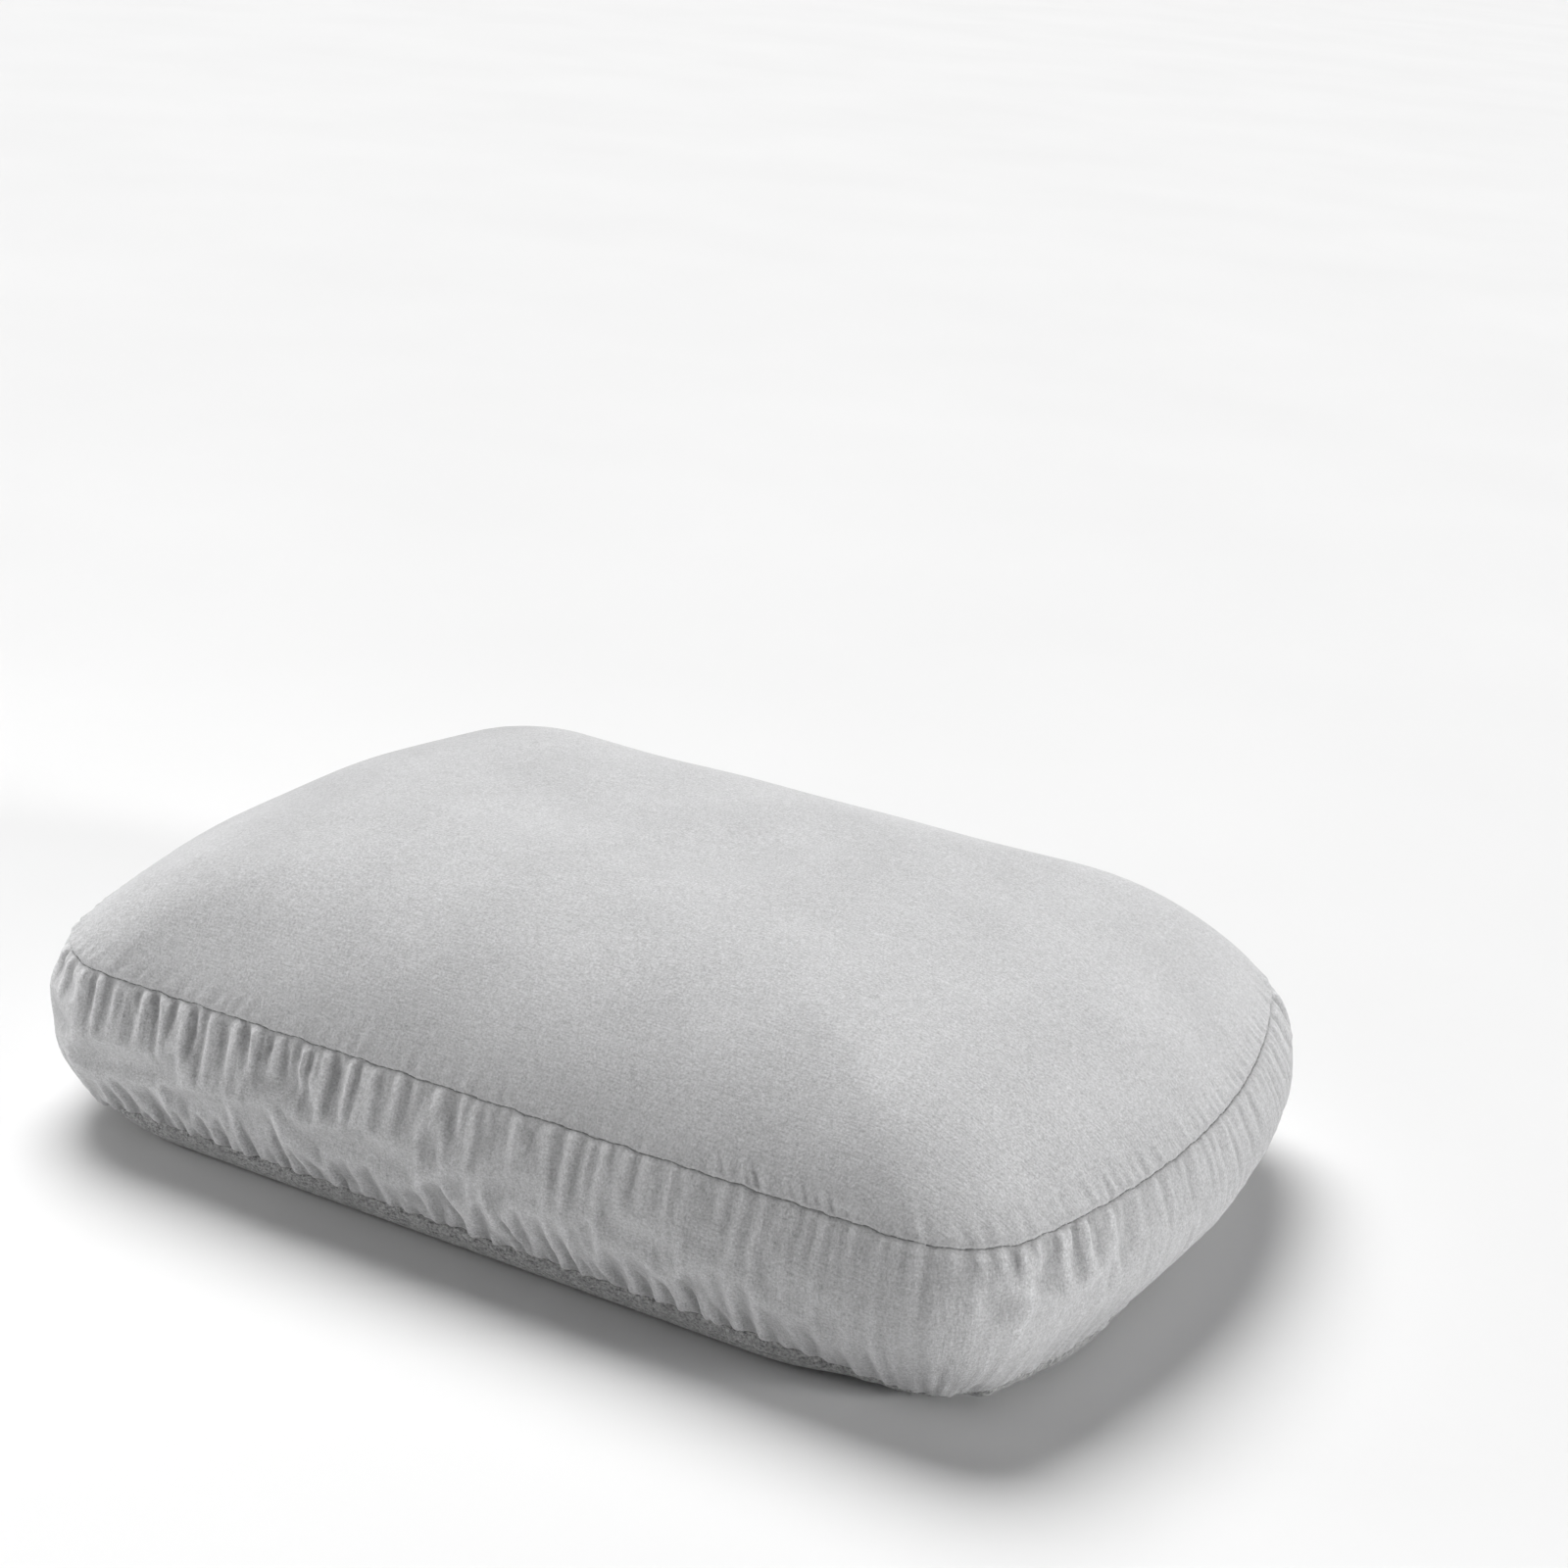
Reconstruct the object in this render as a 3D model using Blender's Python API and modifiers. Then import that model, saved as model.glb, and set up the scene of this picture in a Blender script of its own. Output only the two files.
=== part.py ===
"""Camp pillow: a foam block in a two-piece liner, inside a removable zipped cover.

Metres, +Z up. The origin is in the middle of the flat underside. +X runs along the
pillow's length, and the zip is in the middle of the side wall at +Y.
"""
import math

import bmesh
import bpy

# ------------------------------------------------------------------ driving sizes
# Plan of the top seam: straight long sides, bowed ends, round corners
SEAM_LENGTH = 0.438          # across the middle of the bowed ends
SEAM_WIDTH = 0.285           # between the straight long sides
CORNER_RADIUS = 0.040
END_BOW = 0.017              # how far the middle of an end stands out

# Heights above the ground
PILLOW_HEIGHT = 0.120
TOP_SEAM_HEIGHT = 0.069
BOTTOM_SEAM_HEIGHT = 0.012

# Shape of the filled cover
SIDE_BULGE = 0.009           # the side wall stands out past its seams by this
BOTTOM_SEAM_INSET = 0.007    # the bottom seam lies in from the top seam by this
BASE_ROLL = 0.010            # width of the round edge between bottom seam and flat base
DOME_FULLNESS = 3.05         # higher keeps the top flat further out
DOME_ROUNDNESS = 0.62        # lower makes the shoulder squarer

# Cloth, thread and clearances
COVER_FABRIC = 0.0012
LINER_FABRIC = 0.0008
THREAD_DIAMETER = 0.0008
CLEARANCE = 0.0003           # between pieces that touch on the real pillow
SIDE_SEAM_GAP = 0.0005       # between the zip strips and the rest of the side wall
STRIP_END_INSET = 0.002      # the zip strips end this far before the corners start

# Zip: coils, tapes and the opening between the folded strips
ZIP_END_MARGIN = 0.015       # from the strips' ends to the ends of the coils
ZIP_OPENING = 0.0104         # height of the slot between the folded strips
TAPE_THICKNESS = 0.0006
TAPE_WIDTH = 0.0118
COIL_WIDTH = 0.0019
COIL_THICKNESS = 0.0012
COIL_GAP = 0.0014            # between the two coils, for the slider's post
STOP_LENGTH = 0.0025
STOP_STAND_OUT = 0.0006      # the stops stand out past the side wall by this

# Slider
SLIDER_LENGTH = 0.0090
SLIDER_TAIL_WIDTH = 0.0070
SLIDER_NOSE_WIDTH = 0.0078
SLIDER_PLATE = 0.0010
SLIDER_INNER_CLEARANCE = 0.0005
POST_WIDTH = 0.0008
POST_LENGTH = 0.0020
BRIDGE_LENGTH = 0.0064
BRIDGE_WIDTH = 0.0016
BRIDGE_BAR = 0.0008          # thickness of the bridge's top bar
BRIDGE_LEG = 0.0010
BRIDGE_WINDOW = 0.0020       # free height under the bridge's top bar

# Pull
PULL_LENGTH = 0.0226
PULL_WIDTH = 0.0060
PULL_THICKNESS = 0.0012
PULL_EYE_LENGTH = 0.0044
PULL_EYE_WIDTH = 0.0034
PULL_EDGE = 0.00025

# Label sewn into the top seam
LABEL_WIDTH = 0.024
LABEL_LENGTH = 0.015
LABEL_THICKNESS = 0.0005
LABEL_END_DISTANCE = 0.060   # from the strips' end to the label's middle
LABEL_START = 0.0015         # its upper edge lies this far below the top seam

# Mesh fineness
CORNER_STEPS = 6
END_STEPS = 6
DOME_STEPS = 9
WALL_STEPS = 6
BASE_STEPS = 4
STRIP_STEPS = 8
DOME_STEP_GROWTH = 2.5       # packs the dome's rings towards its shoulder
MERGE_DISTANCE = 0.00001

# ------------------------------------------------------------------ derived sizes
HALF_LENGTH = SEAM_LENGTH / 2
HALF_WIDTH = SEAM_WIDTH / 2
WALL_HEIGHT = TOP_SEAM_HEIGHT - BOTTOM_SEAM_HEIGHT
SEAM_HALF_GAP = THREAD_DIAMETER / 2 + CLEARANCE

# An end is one wide arc that meets the corner arcs without a kink
CORNER_CENTRE_Y = HALF_WIDTH - CORNER_RADIUS
END_RADIUS = (CORNER_CENTRE_Y ** 2 + END_BOW ** 2) / (2 * END_BOW) + CORNER_RADIUS
END_CENTRE_X = HALF_LENGTH - END_RADIUS
CORNER_CENTRE_X = END_CENTRE_X + math.sqrt((END_RADIUS - CORNER_RADIUS) ** 2 - CORNER_CENTRE_Y ** 2)
END_HALF_ANGLE = math.asin(CORNER_CENTRE_Y / (END_RADIUS - CORNER_RADIUS))

STRIP_HALF_LENGTH = CORNER_CENTRE_X - STRIP_END_INSET
WALL_BACK_END = STRIP_HALF_LENGTH + SIDE_SEAM_GAP
ZIP_LENGTH = 2 * (STRIP_HALF_LENGTH - ZIP_END_MARGIN)
LABEL_CENTRE_X = STRIP_HALF_LENGTH - LABEL_END_DISTANCE

# Depths of the zip's layers behind the side wall's outer skin, positive inwards
TAPE_DEPTH = COVER_FABRIC + CLEARANCE
COIL_DEPTH = TAPE_DEPTH - CLEARANCE - COIL_THICKNESS
INNER_PLATE_DEPTH = TAPE_DEPTH + TAPE_THICKNESS + SLIDER_INNER_CLEARANCE
OUTER_PLATE_DEPTH = COIL_DEPTH - CLEARANCE - SLIDER_PLATE
ZIP_POCKET = INNER_PLATE_DEPTH + SLIDER_PLATE + 3 * CLEARANCE

# Insets of the inner layers from the cover's outer skin
LINER_INSET = COVER_FABRIC + CLEARANCE
FOAM_INSET = LINER_INSET + LINER_FABRIC + 2 * CLEARANCE

# The zip lies where the side wall stands upright, this share of the way down it
ZIP_SHARE = math.acos(BOTTOM_SEAM_INSET / (math.pi * SIDE_BULGE)) / math.pi
ZIP_HEIGHT = TOP_SEAM_HEIGHT - ZIP_SHARE * WALL_HEIGHT
CORE_BULGE = SIDE_BULGE - (ZIP_POCKET - LINER_INSET) / math.sin(math.pi * ZIP_SHARE)
ZIP_SKIN_Y = HALF_WIDTH + SIDE_BULGE * math.sin(math.pi * ZIP_SHARE) - BOTTOM_SEAM_INSET * ZIP_SHARE
SLIDER_CLOSED_X = -(ZIP_LENGTH - SLIDER_LENGTH) / 2 + CLEARANCE
PULL_AXIS_DEPTH = OUTER_PLATE_DEPTH - BRIDGE_WINDOW / 2

# Colours (linear), roughness and metallic value
MATERIALS = {
    "top_fabric": ((0.56, 0.56, 0.57), 0.92, 0.0),
    "bottom_fabric": ((0.13, 0.13, 0.135), 0.95, 0.0),
    "liner_fabric": ((0.80, 0.80, 0.79), 0.90, 0.0),
    "foam": ((0.86, 0.84, 0.76), 0.97, 0.0),
    "thread": ((0.30, 0.30, 0.31), 0.80, 0.0),
    "zip_tape": ((0.42, 0.42, 0.43), 0.85, 0.0),
    "zip_coil": ((0.38, 0.38, 0.39), 0.45, 0.0),
    "zip_metal": ((0.40, 0.40, 0.42), 0.32, 1.0),
    "label": ((0.85, 0.85, 0.84), 0.70, 0.0),
}


# ------------------------------------------------------------------ scene helpers
def clear_scene():
    for item in list(bpy.data.objects):
        bpy.data.objects.remove(item, do_unlink=True)


def new_collection(name):
    collection = bpy.data.collections.new(name)
    bpy.context.scene.collection.children.link(collection)
    return collection


def make_material(node_name, look):
    colour, roughness, metallic = MATERIALS[look]
    material = bpy.data.materials.new(node_name + "_" + look)
    material.use_nodes = True
    shader = material.node_tree.nodes["Principled BSDF"]
    shader.inputs["Base Color"].default_value = (*colour, 1.0)
    shader.inputs["Roughness"].default_value = roughness
    shader.inputs["Metallic"].default_value = metallic
    return material


def add_part(name, mesh, look, location=(0.0, 0.0, 0.0)):
    """A piece of the pillow, as one named object with its own material."""
    part = bpy.data.objects.new(name, mesh)
    part.location = location
    mesh.materials.clear()
    mesh.materials.append(make_material(name, look))
    PARTS.objects.link(part)
    return part


def add_cutter(name, mesh):
    """A tool shape that a Boolean uses, left out of the pillow."""
    cutter = bpy.data.objects.new(name, mesh)
    cutter.hide_render = True
    cutter.display_type = "WIRE"
    CUTTERS.objects.link(cutter)
    return cutter


def thicken(part, thickness):
    """Turn an outer skin into cloth, with its thickness on the inner side."""
    solidify = part.modifiers.new("cloth thickness", "SOLIDIFY")
    solidify.thickness = thickness
    solidify.offset = -1.0
    solidify.use_even_offset = True


def combine(part, operation, tools):
    for tool in tools:
        boolean = part.modifiers.new(operation.lower() + " " + tool.name, "BOOLEAN")
        boolean.operation = operation
        boolean.solver = "EXACT"
        boolean.object = tool


def round_edges(part, width, segments=2):
    bevel = part.modifiers.new("rounded edges", "BEVEL")
    bevel.width = width
    bevel.segments = segments
    bevel.limit_method = "ANGLE"


def smooth(mesh, angle=math.radians(40)):
    mesh.shade_smooth()
    mesh.set_sharp_from_angle(angle=angle)


# ------------------------------------------------------------------ plan curves
def arc(centre_x, centre_y, radius, start, stop, steps):
    angles = [start + (stop - start) * step / steps for step in range(steps + 1)]
    return [(centre_x + radius * math.cos(a), centre_y + radius * math.sin(a)) for a in angles]


def outline(offset):
    """Plan of the top seam moved out by offset, anticlockwise from the zip strips' left end."""
    corner = CORNER_RADIUS + offset
    front_corner = arc(CORNER_CENTRE_X, -CORNER_CENTRE_Y, corner, -math.pi / 2, -END_HALF_ANGLE, CORNER_STEPS)
    end = arc(END_CENTRE_X, 0.0, END_RADIUS + offset, -END_HALF_ANGLE, END_HALF_ANGLE, END_STEPS)
    back_corner = arc(CORNER_CENTRE_X, CORNER_CENTRE_Y, corner, END_HALF_ANGLE, math.pi / 2, CORNER_STEPS)
    right = front_corner + end[1:-1] + back_corner + [(WALL_BACK_END, HALF_WIDTH + offset)]
    left = [(-x, y) for x, y in reversed(right)]
    return left + right


def back_run(x_from, x_to):
    """A straight run along the back wall, as a plan that can be moved out by an offset."""
    return lambda offset: [(x_to, HALF_WIDTH + offset), (x_from, HALF_WIDTH + offset)]


# ------------------------------------------------------------------ rings of the pillow's form
def dome_rings(inset, rim_height):
    """Rings from near the middle of the top down to the top seam."""
    rings = []
    apex = PILLOW_HEIGHT - inset
    for step in range(1, DOME_STEPS + 1):
        share = 1.0 - (1.0 - step / DOME_STEPS) ** DOME_STEP_GROWTH
        height = rim_height + (apex - rim_height) * (1.0 - share ** DOME_FULLNESS) ** DOME_ROUNDNESS
        rings.append([(x * share, y * share, height) for x, y in outline(-inset)])
    return rings


def wall_rings(plan, inset, bulge, z_from, z_to, steps):
    """Rings down the side wall, which stands out between its two seams."""
    rings = []
    for step in range(steps + 1):
        height = z_from + (z_to - z_from) * step / steps
        share = (TOP_SEAM_HEIGHT - height) / WALL_HEIGHT
        offset = bulge * math.sin(math.pi * share) - BOTTOM_SEAM_INSET * share - inset
        rings.append([(x, y, height) for x, y in plan(offset)])
    return rings


def base_rings(inset, rim_height):
    """Rings round the rolled edge from the bottom seam to the flat base."""
    rings = []
    for step in range(BASE_STEPS + 1):
        angle = math.pi / 2 * step / BASE_STEPS
        height = rim_height - (rim_height - inset) * math.sin(angle)
        offset = -BOTTOM_SEAM_INSET - inset - BASE_ROLL * (1.0 - math.cos(angle))
        rings.append([(x, y, height) for x, y in outline(offset)])
    return rings


def skin(name, rings, closed=True, apex=None, flat_base=False):
    """Mesh through rings listed from the top down, with its faces pointing out."""
    shape = bmesh.new()
    rows = [[shape.verts.new(point) for point in ring] for ring in rings]
    count = len(rings[0])
    spans = count if closed else count - 1
    for upper, lower in zip(rows, rows[1:]):
        for here in range(spans):
            beside = (here + 1) % count
            shape.faces.new((upper[here], lower[here], lower[beside], upper[beside]))
    if apex is not None:
        tip = shape.verts.new((0.0, 0.0, apex))
        for here in range(count):
            shape.faces.new((tip, rows[0][here], rows[0][(here + 1) % count]))
    if flat_base:
        shape.faces.new(list(reversed(rows[-1])))
    mesh = bpy.data.meshes.new(name)
    shape.to_mesh(mesh)
    shape.free()
    smooth(mesh)
    return mesh


# ------------------------------------------------------------------ small solids
def block_mesh(name, low, high):
    shape = bmesh.new()
    bmesh.ops.create_cube(shape, size=1.0)
    for vert in shape.verts:
        vert.co = [lo + (hi - lo) * (value + 0.5) for lo, hi, value in zip(low, high, vert.co)]
    mesh = bpy.data.meshes.new(name)
    shape.to_mesh(mesh)
    shape.free()
    return mesh


def plate_mesh(name, loops, y_low, y_high, edge=0.0):
    """A flat plate in the XZ plane, from an outline and any holes in it."""
    curve = bpy.data.curves.new(name, "CURVE")
    curve.dimensions = "2D"
    curve.fill_mode = "BOTH"
    curve.extrude = (y_high - y_low) / 2 - edge
    curve.bevel_depth = edge
    curve.bevel_resolution = 1
    curve.offset = -edge
    for loop in loops:
        spline = curve.splines.new("POLY")
        spline.points.add(len(loop) - 1)
        for point, (x, z) in zip(spline.points, loop):
            point.co = (x, z, 0.0, 1.0)
        spline.use_cyclic_u = True
    source = bpy.data.objects.new(name + "_outline", curve)
    CUTTERS.objects.link(source)
    evaluated = source.evaluated_get(bpy.context.evaluated_depsgraph_get())
    mesh = bpy.data.meshes.new_from_object(evaluated)
    bpy.data.objects.remove(source, do_unlink=True)
    shape = bmesh.new()
    shape.from_mesh(mesh)
    bmesh.ops.remove_doubles(shape, verts=shape.verts, dist=MERGE_DISTANCE)
    middle = (y_low + y_high) / 2
    for vert in shape.verts:
        x, z, y = vert.co
        vert.co = (x, middle + y, z)
    bmesh.ops.reverse_faces(shape, faces=shape.faces)
    shape.to_mesh(mesh)
    shape.free()
    return mesh


def round_rectangle(x_low, x_high, half_width, radius, steps=4):
    """Outline of a tab in its own plane, with round corners."""
    loop = []
    corners = [(x_high - radius, half_width - radius, 0), (x_low + radius, half_width - radius, 1),
               (x_low + radius, -half_width + radius, 2), (x_high - radius, -half_width + radius, 3)]
    for centre_x, centre_z, turn in corners:
        start = turn * math.pi / 2
        loop += arc(centre_x, centre_z, radius, start, start + math.pi / 2, steps)
    return loop


def thread_ring(name, offset, height):
    """A line of stitches, as one round thread laid in a seam all the way round."""
    curve = bpy.data.curves.new(name, "CURVE")
    curve.dimensions = "3D"
    curve.bevel_depth = THREAD_DIAMETER / 2
    curve.bevel_resolution = 1
    spline = curve.splines.new("POLY")
    points = outline(offset - THREAD_DIAMETER / 2)
    spline.points.add(len(points) - 1)
    for point, (x, y) in zip(spline.points, points):
        point.co = (x, y, height, 1.0)
    spline.use_cyclic_u = True
    thread = bpy.data.objects.new(name, curve)
    curve.materials.append(make_material(name, "thread"))
    PARTS.objects.link(thread)
    return thread


# ------------------------------------------------------------------ cover
def make_cover():
    top_rim = TOP_SEAM_HEIGHT + SEAM_HALF_GAP
    mesh = skin("cover_top_panel", dome_rings(0.0, top_rim), apex=PILLOW_HEIGHT)
    thicken(add_part("cover_top_panel", mesh, "top_fabric"), COVER_FABRIC)

    wall_top = TOP_SEAM_HEIGHT - SEAM_HALF_GAP
    wall_bottom = BOTTOM_SEAM_HEIGHT + SEAM_HALF_GAP
    wall = wall_rings(outline, 0.0, SIDE_BULGE, wall_top, wall_bottom, WALL_STEPS)
    mesh = skin("cover_side_wall", wall, closed=False)
    thicken(add_part("cover_side_wall", mesh, "top_fabric"), COVER_FABRIC)

    back = back_run(-STRIP_HALF_LENGTH, STRIP_HALF_LENGTH)
    slot_top = ZIP_HEIGHT + ZIP_OPENING / 2
    slot_bottom = ZIP_HEIGHT - ZIP_OPENING / 2
    for name, upper, lower in (("zip_strip_upper", wall_top, slot_top),
                               ("zip_strip_lower", slot_bottom, wall_bottom)):
        strip = wall_rings(back, 0.0, SIDE_BULGE, upper, lower, STRIP_STEPS)
        thicken(add_part(name, skin(name, strip, closed=False), "top_fabric"), COVER_FABRIC)

    mesh = skin("cover_bottom_panel", base_rings(0.0, BOTTOM_SEAM_HEIGHT - SEAM_HALF_GAP), flat_base=True)
    thicken(add_part("cover_bottom_panel", mesh, "bottom_fabric"), COVER_FABRIC)

    thread_ring("top_seam_thread", 0.0, TOP_SEAM_HEIGHT)
    thread_ring("bottom_seam_thread", -BOTTOM_SEAM_INSET, BOTTOM_SEAM_HEIGHT)


def make_label():
    run = back_run(LABEL_CENTRE_X - LABEL_WIDTH / 2, LABEL_CENTRE_X + LABEL_WIDTH / 2)
    upper = TOP_SEAM_HEIGHT - LABEL_START
    outer_skin = -CLEARANCE - LABEL_THICKNESS
    rings = wall_rings(run, outer_skin, SIDE_BULGE, upper, upper - LABEL_LENGTH, STRIP_STEPS)
    thicken(add_part("care_label", skin("care_label", rings, closed=False), "label"), LABEL_THICKNESS)


# ------------------------------------------------------------------ filling
def make_filling():
    upper_wall = wall_rings(outline, LINER_INSET, CORE_BULGE, TOP_SEAM_HEIGHT,
                            ZIP_HEIGHT + CLEARANCE / 2, WALL_STEPS // 2)
    rings = dome_rings(LINER_INSET, TOP_SEAM_HEIGHT) + upper_wall[1:]
    mesh = skin("liner_top", rings, apex=PILLOW_HEIGHT - LINER_INSET)
    thicken(add_part("liner_top", mesh, "liner_fabric"), LINER_FABRIC)

    lower_wall = wall_rings(outline, LINER_INSET, CORE_BULGE, ZIP_HEIGHT - CLEARANCE / 2,
                            BOTTOM_SEAM_HEIGHT, WALL_STEPS // 2)
    rings = lower_wall + base_rings(LINER_INSET, BOTTOM_SEAM_HEIGHT)[1:]
    mesh = skin("liner_bottom", rings, flat_base=True)
    thicken(add_part("liner_bottom", mesh, "liner_fabric"), LINER_FABRIC)

    rings = dome_rings(FOAM_INSET, TOP_SEAM_HEIGHT)
    rings += wall_rings(outline, FOAM_INSET, CORE_BULGE, TOP_SEAM_HEIGHT, BOTTOM_SEAM_HEIGHT, WALL_STEPS)[1:]
    rings += base_rings(FOAM_INSET, BOTTOM_SEAM_HEIGHT)[1:]
    mesh = skin("foam_core", rings, apex=PILLOW_HEIGHT - FOAM_INSET, flat_base=True)
    add_part("foam_core", mesh, "foam")


# ------------------------------------------------------------------ zip
def make_tapes_and_coils():
    run = back_run(-STRIP_HALF_LENGTH, STRIP_HALF_LENGTH)
    half_gap = COIL_GAP / 2
    y_far = ZIP_SKIN_Y - COIL_DEPTH
    y_near = y_far - COIL_THICKNESS
    for side, way in (("upper", 1), ("lower", -1)):
        inner = ZIP_HEIGHT + way * half_gap
        outer = inner + way * TAPE_WIDTH
        rings = wall_rings(run, TAPE_DEPTH, SIDE_BULGE, max(inner, outer), min(inner, outer), STRIP_STEPS)
        name = "zip_tape_" + side
        thicken(add_part(name, skin(name, rings, closed=False), "zip_tape"), TAPE_THICKNESS)

        edges = sorted((inner, inner + way * COIL_WIDTH))
        name = "zip_coil_" + side
        mesh = block_mesh(name, (-ZIP_LENGTH / 2, y_near, edges[0]), (ZIP_LENGTH / 2, y_far, edges[1]))
        round_edges(add_part(name, mesh, "zip_coil"), COIL_THICKNESS / 4)


def make_stops():
    half_gap = COIL_GAP / 2
    reach = half_gap + COIL_WIDTH
    start = ZIP_LENGTH / 2 + CLEARANCE
    y_low = ZIP_SKIN_Y - TAPE_DEPTH + CLEARANCE
    y_high = ZIP_SKIN_Y + STOP_STAND_OUT
    stops = {
        "zip_bottom_stop": (start, start + STOP_LENGTH, -reach, reach),
        "zip_top_stop_upper": (-start - STOP_LENGTH, -start, half_gap, reach),
        "zip_top_stop_lower": (-start - STOP_LENGTH, -start, -reach, -half_gap),
    }
    for name, (x_low, x_high, low, high) in stops.items():
        mesh = block_mesh(name, (x_low, y_low, ZIP_HEIGHT + low), (x_high, y_high, ZIP_HEIGHT + high))
        round_edges(add_part(name, mesh, "zip_metal"), STOP_STAND_OUT / 2)


def slider_outline():
    """Seen from behind the pillow: a broad nose that leads, and a narrower tail."""
    half = SLIDER_LENGTH / 2
    tail = SLIDER_TAIL_WIDTH / 2
    nose = SLIDER_NOSE_WIDTH / 2
    return [(half, -tail), (half, tail), (0.0, nose), (-half + (nose - tail), nose), (-half, tail),
            (-half, -tail), (-half + (nose - tail), -nose), (0.0, -nose)]


def make_slider():
    """The slider, with its origin on the line it runs along."""
    half = SLIDER_LENGTH / 2
    lip_depth = TAPE_DEPTH - CLEARANCE
    shell = plate_mesh("zip_slider", [slider_outline()], -lip_depth, -OUTER_PLATE_DEPTH)
    slider = add_part("zip_slider", shell, "zip_metal", (SLIDER_CLOSED_X, ZIP_SKIN_Y, ZIP_HEIGHT))

    channel = COIL_GAP / 2 + COIL_WIDTH + CLEARANCE
    channel_roof = -COIL_DEPTH + CLEARANCE
    channel_cut = block_mesh("slider_channel", (-2 * half, -2 * lip_depth, -channel),
                             (2 * half, channel_roof, channel))

    inner_low = -INNER_PLATE_DEPTH - SLIDER_PLATE
    inner_plate = plate_mesh("slider_inner_plate", [slider_outline()], inner_low, -INNER_PLATE_DEPTH)
    post_start = -half + POST_LENGTH / 2
    post = block_mesh("slider_post", (post_start, inner_low + SLIDER_PLATE / 2, -POST_WIDTH / 2),
                      (post_start + POST_LENGTH, channel_roof + SLIDER_PLATE / 2, POST_WIDTH / 2))

    roof = -OUTER_PLATE_DEPTH
    bridge_top = roof + BRIDGE_WINDOW + BRIDGE_BAR
    bridge = block_mesh("slider_bridge", (-BRIDGE_LENGTH / 2, roof - SLIDER_PLATE / 2, -BRIDGE_WIDTH / 2),
                        (BRIDGE_LENGTH / 2, bridge_top, BRIDGE_WIDTH / 2))
    window_half = BRIDGE_LENGTH / 2 - BRIDGE_LEG
    window = block_mesh("slider_window", (-window_half, roof, -BRIDGE_WIDTH),
                        (window_half, roof + BRIDGE_WINDOW, BRIDGE_WIDTH))

    tools = {}
    for key, mesh in (("channel", channel_cut), ("inner plate", inner_plate), ("post", post),
                      ("bridge", bridge), ("window", window)):
        tools[key] = add_cutter("tool_" + mesh.name, mesh)
        tools[key].location = slider.location
    combine(slider, "DIFFERENCE", [tools["channel"]])
    combine(slider, "UNION", [tools["post"], tools["inner plate"], tools["bridge"]])
    combine(slider, "DIFFERENCE", [tools["window"]])
    return slider


def make_pull(slider):
    """The pull, with its origin on the line it swings about, under the slider's bridge."""
    bar = PULL_THICKNESS / 2
    tab = round_rectangle(-bar, PULL_LENGTH - bar, PULL_WIDTH / 2, PULL_WIDTH / 4)
    eye = round_rectangle(bar, bar + PULL_EYE_LENGTH, PULL_EYE_WIDTH / 2, PULL_THICKNESS / 4)
    mesh = plate_mesh("zip_pull", [tab, eye], -bar, bar, PULL_EDGE)
    smooth(mesh)
    pull = add_part("zip_pull", mesh, "zip_metal")
    pull.parent = slider
    pull.location = (0.0, -PULL_AXIS_DEPTH, 0.0)


clear_scene()
PARTS = new_collection("camp_pillow")
CUTTERS = new_collection("cutters")
make_cover()
make_label()
make_filling()
make_tapes_and_coils()
make_stops()
make_pull(make_slider())
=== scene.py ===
"""Looks of the camp pillow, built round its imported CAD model. Metres, +Z up, zip at +Y."""
import math
import random

import bmesh
import bpy
import numpy as np
from mathutils import Matrix, Vector


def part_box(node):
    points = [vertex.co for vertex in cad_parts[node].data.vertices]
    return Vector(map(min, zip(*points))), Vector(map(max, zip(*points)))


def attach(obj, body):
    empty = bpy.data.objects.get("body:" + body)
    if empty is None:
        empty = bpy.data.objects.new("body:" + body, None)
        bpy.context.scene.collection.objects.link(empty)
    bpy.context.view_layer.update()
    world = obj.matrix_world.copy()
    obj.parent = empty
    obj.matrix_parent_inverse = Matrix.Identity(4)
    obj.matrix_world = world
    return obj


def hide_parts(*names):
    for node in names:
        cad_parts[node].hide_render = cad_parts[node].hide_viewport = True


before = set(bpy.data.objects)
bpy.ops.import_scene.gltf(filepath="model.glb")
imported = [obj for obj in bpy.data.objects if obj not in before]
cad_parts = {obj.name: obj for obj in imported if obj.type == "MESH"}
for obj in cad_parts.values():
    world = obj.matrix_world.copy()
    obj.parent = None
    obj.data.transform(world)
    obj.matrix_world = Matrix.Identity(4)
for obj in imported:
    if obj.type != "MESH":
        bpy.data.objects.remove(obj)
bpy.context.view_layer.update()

# ------------------------------------------------------------------ sizes from the frame
HALF_LENGTH, HALF_WIDTH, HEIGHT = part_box("cover_top_panel")[1]


def middle(node, axis):
    low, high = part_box(node)
    return (low[axis] + high[axis]) / 2


TOP_SEAM = middle("top_seam_thread", 2)
BOTTOM_SEAM = middle("bottom_seam_thread", 2)
SEAM_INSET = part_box("top_seam_thread")[1][0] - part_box("bottom_seam_thread")[1][0]
WALL_HEIGHT = TOP_SEAM - BOTTOM_SEAM
ZIP_HEIGHT = (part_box("zip_coil_upper")[0][2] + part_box("zip_coil_lower")[1][2]) / 2
STRIP_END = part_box("zip_strip_upper")[1][0]
SLOT_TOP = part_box("zip_strip_upper")[0][2]
SLOT_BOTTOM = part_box("zip_strip_lower")[1][2]

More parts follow.
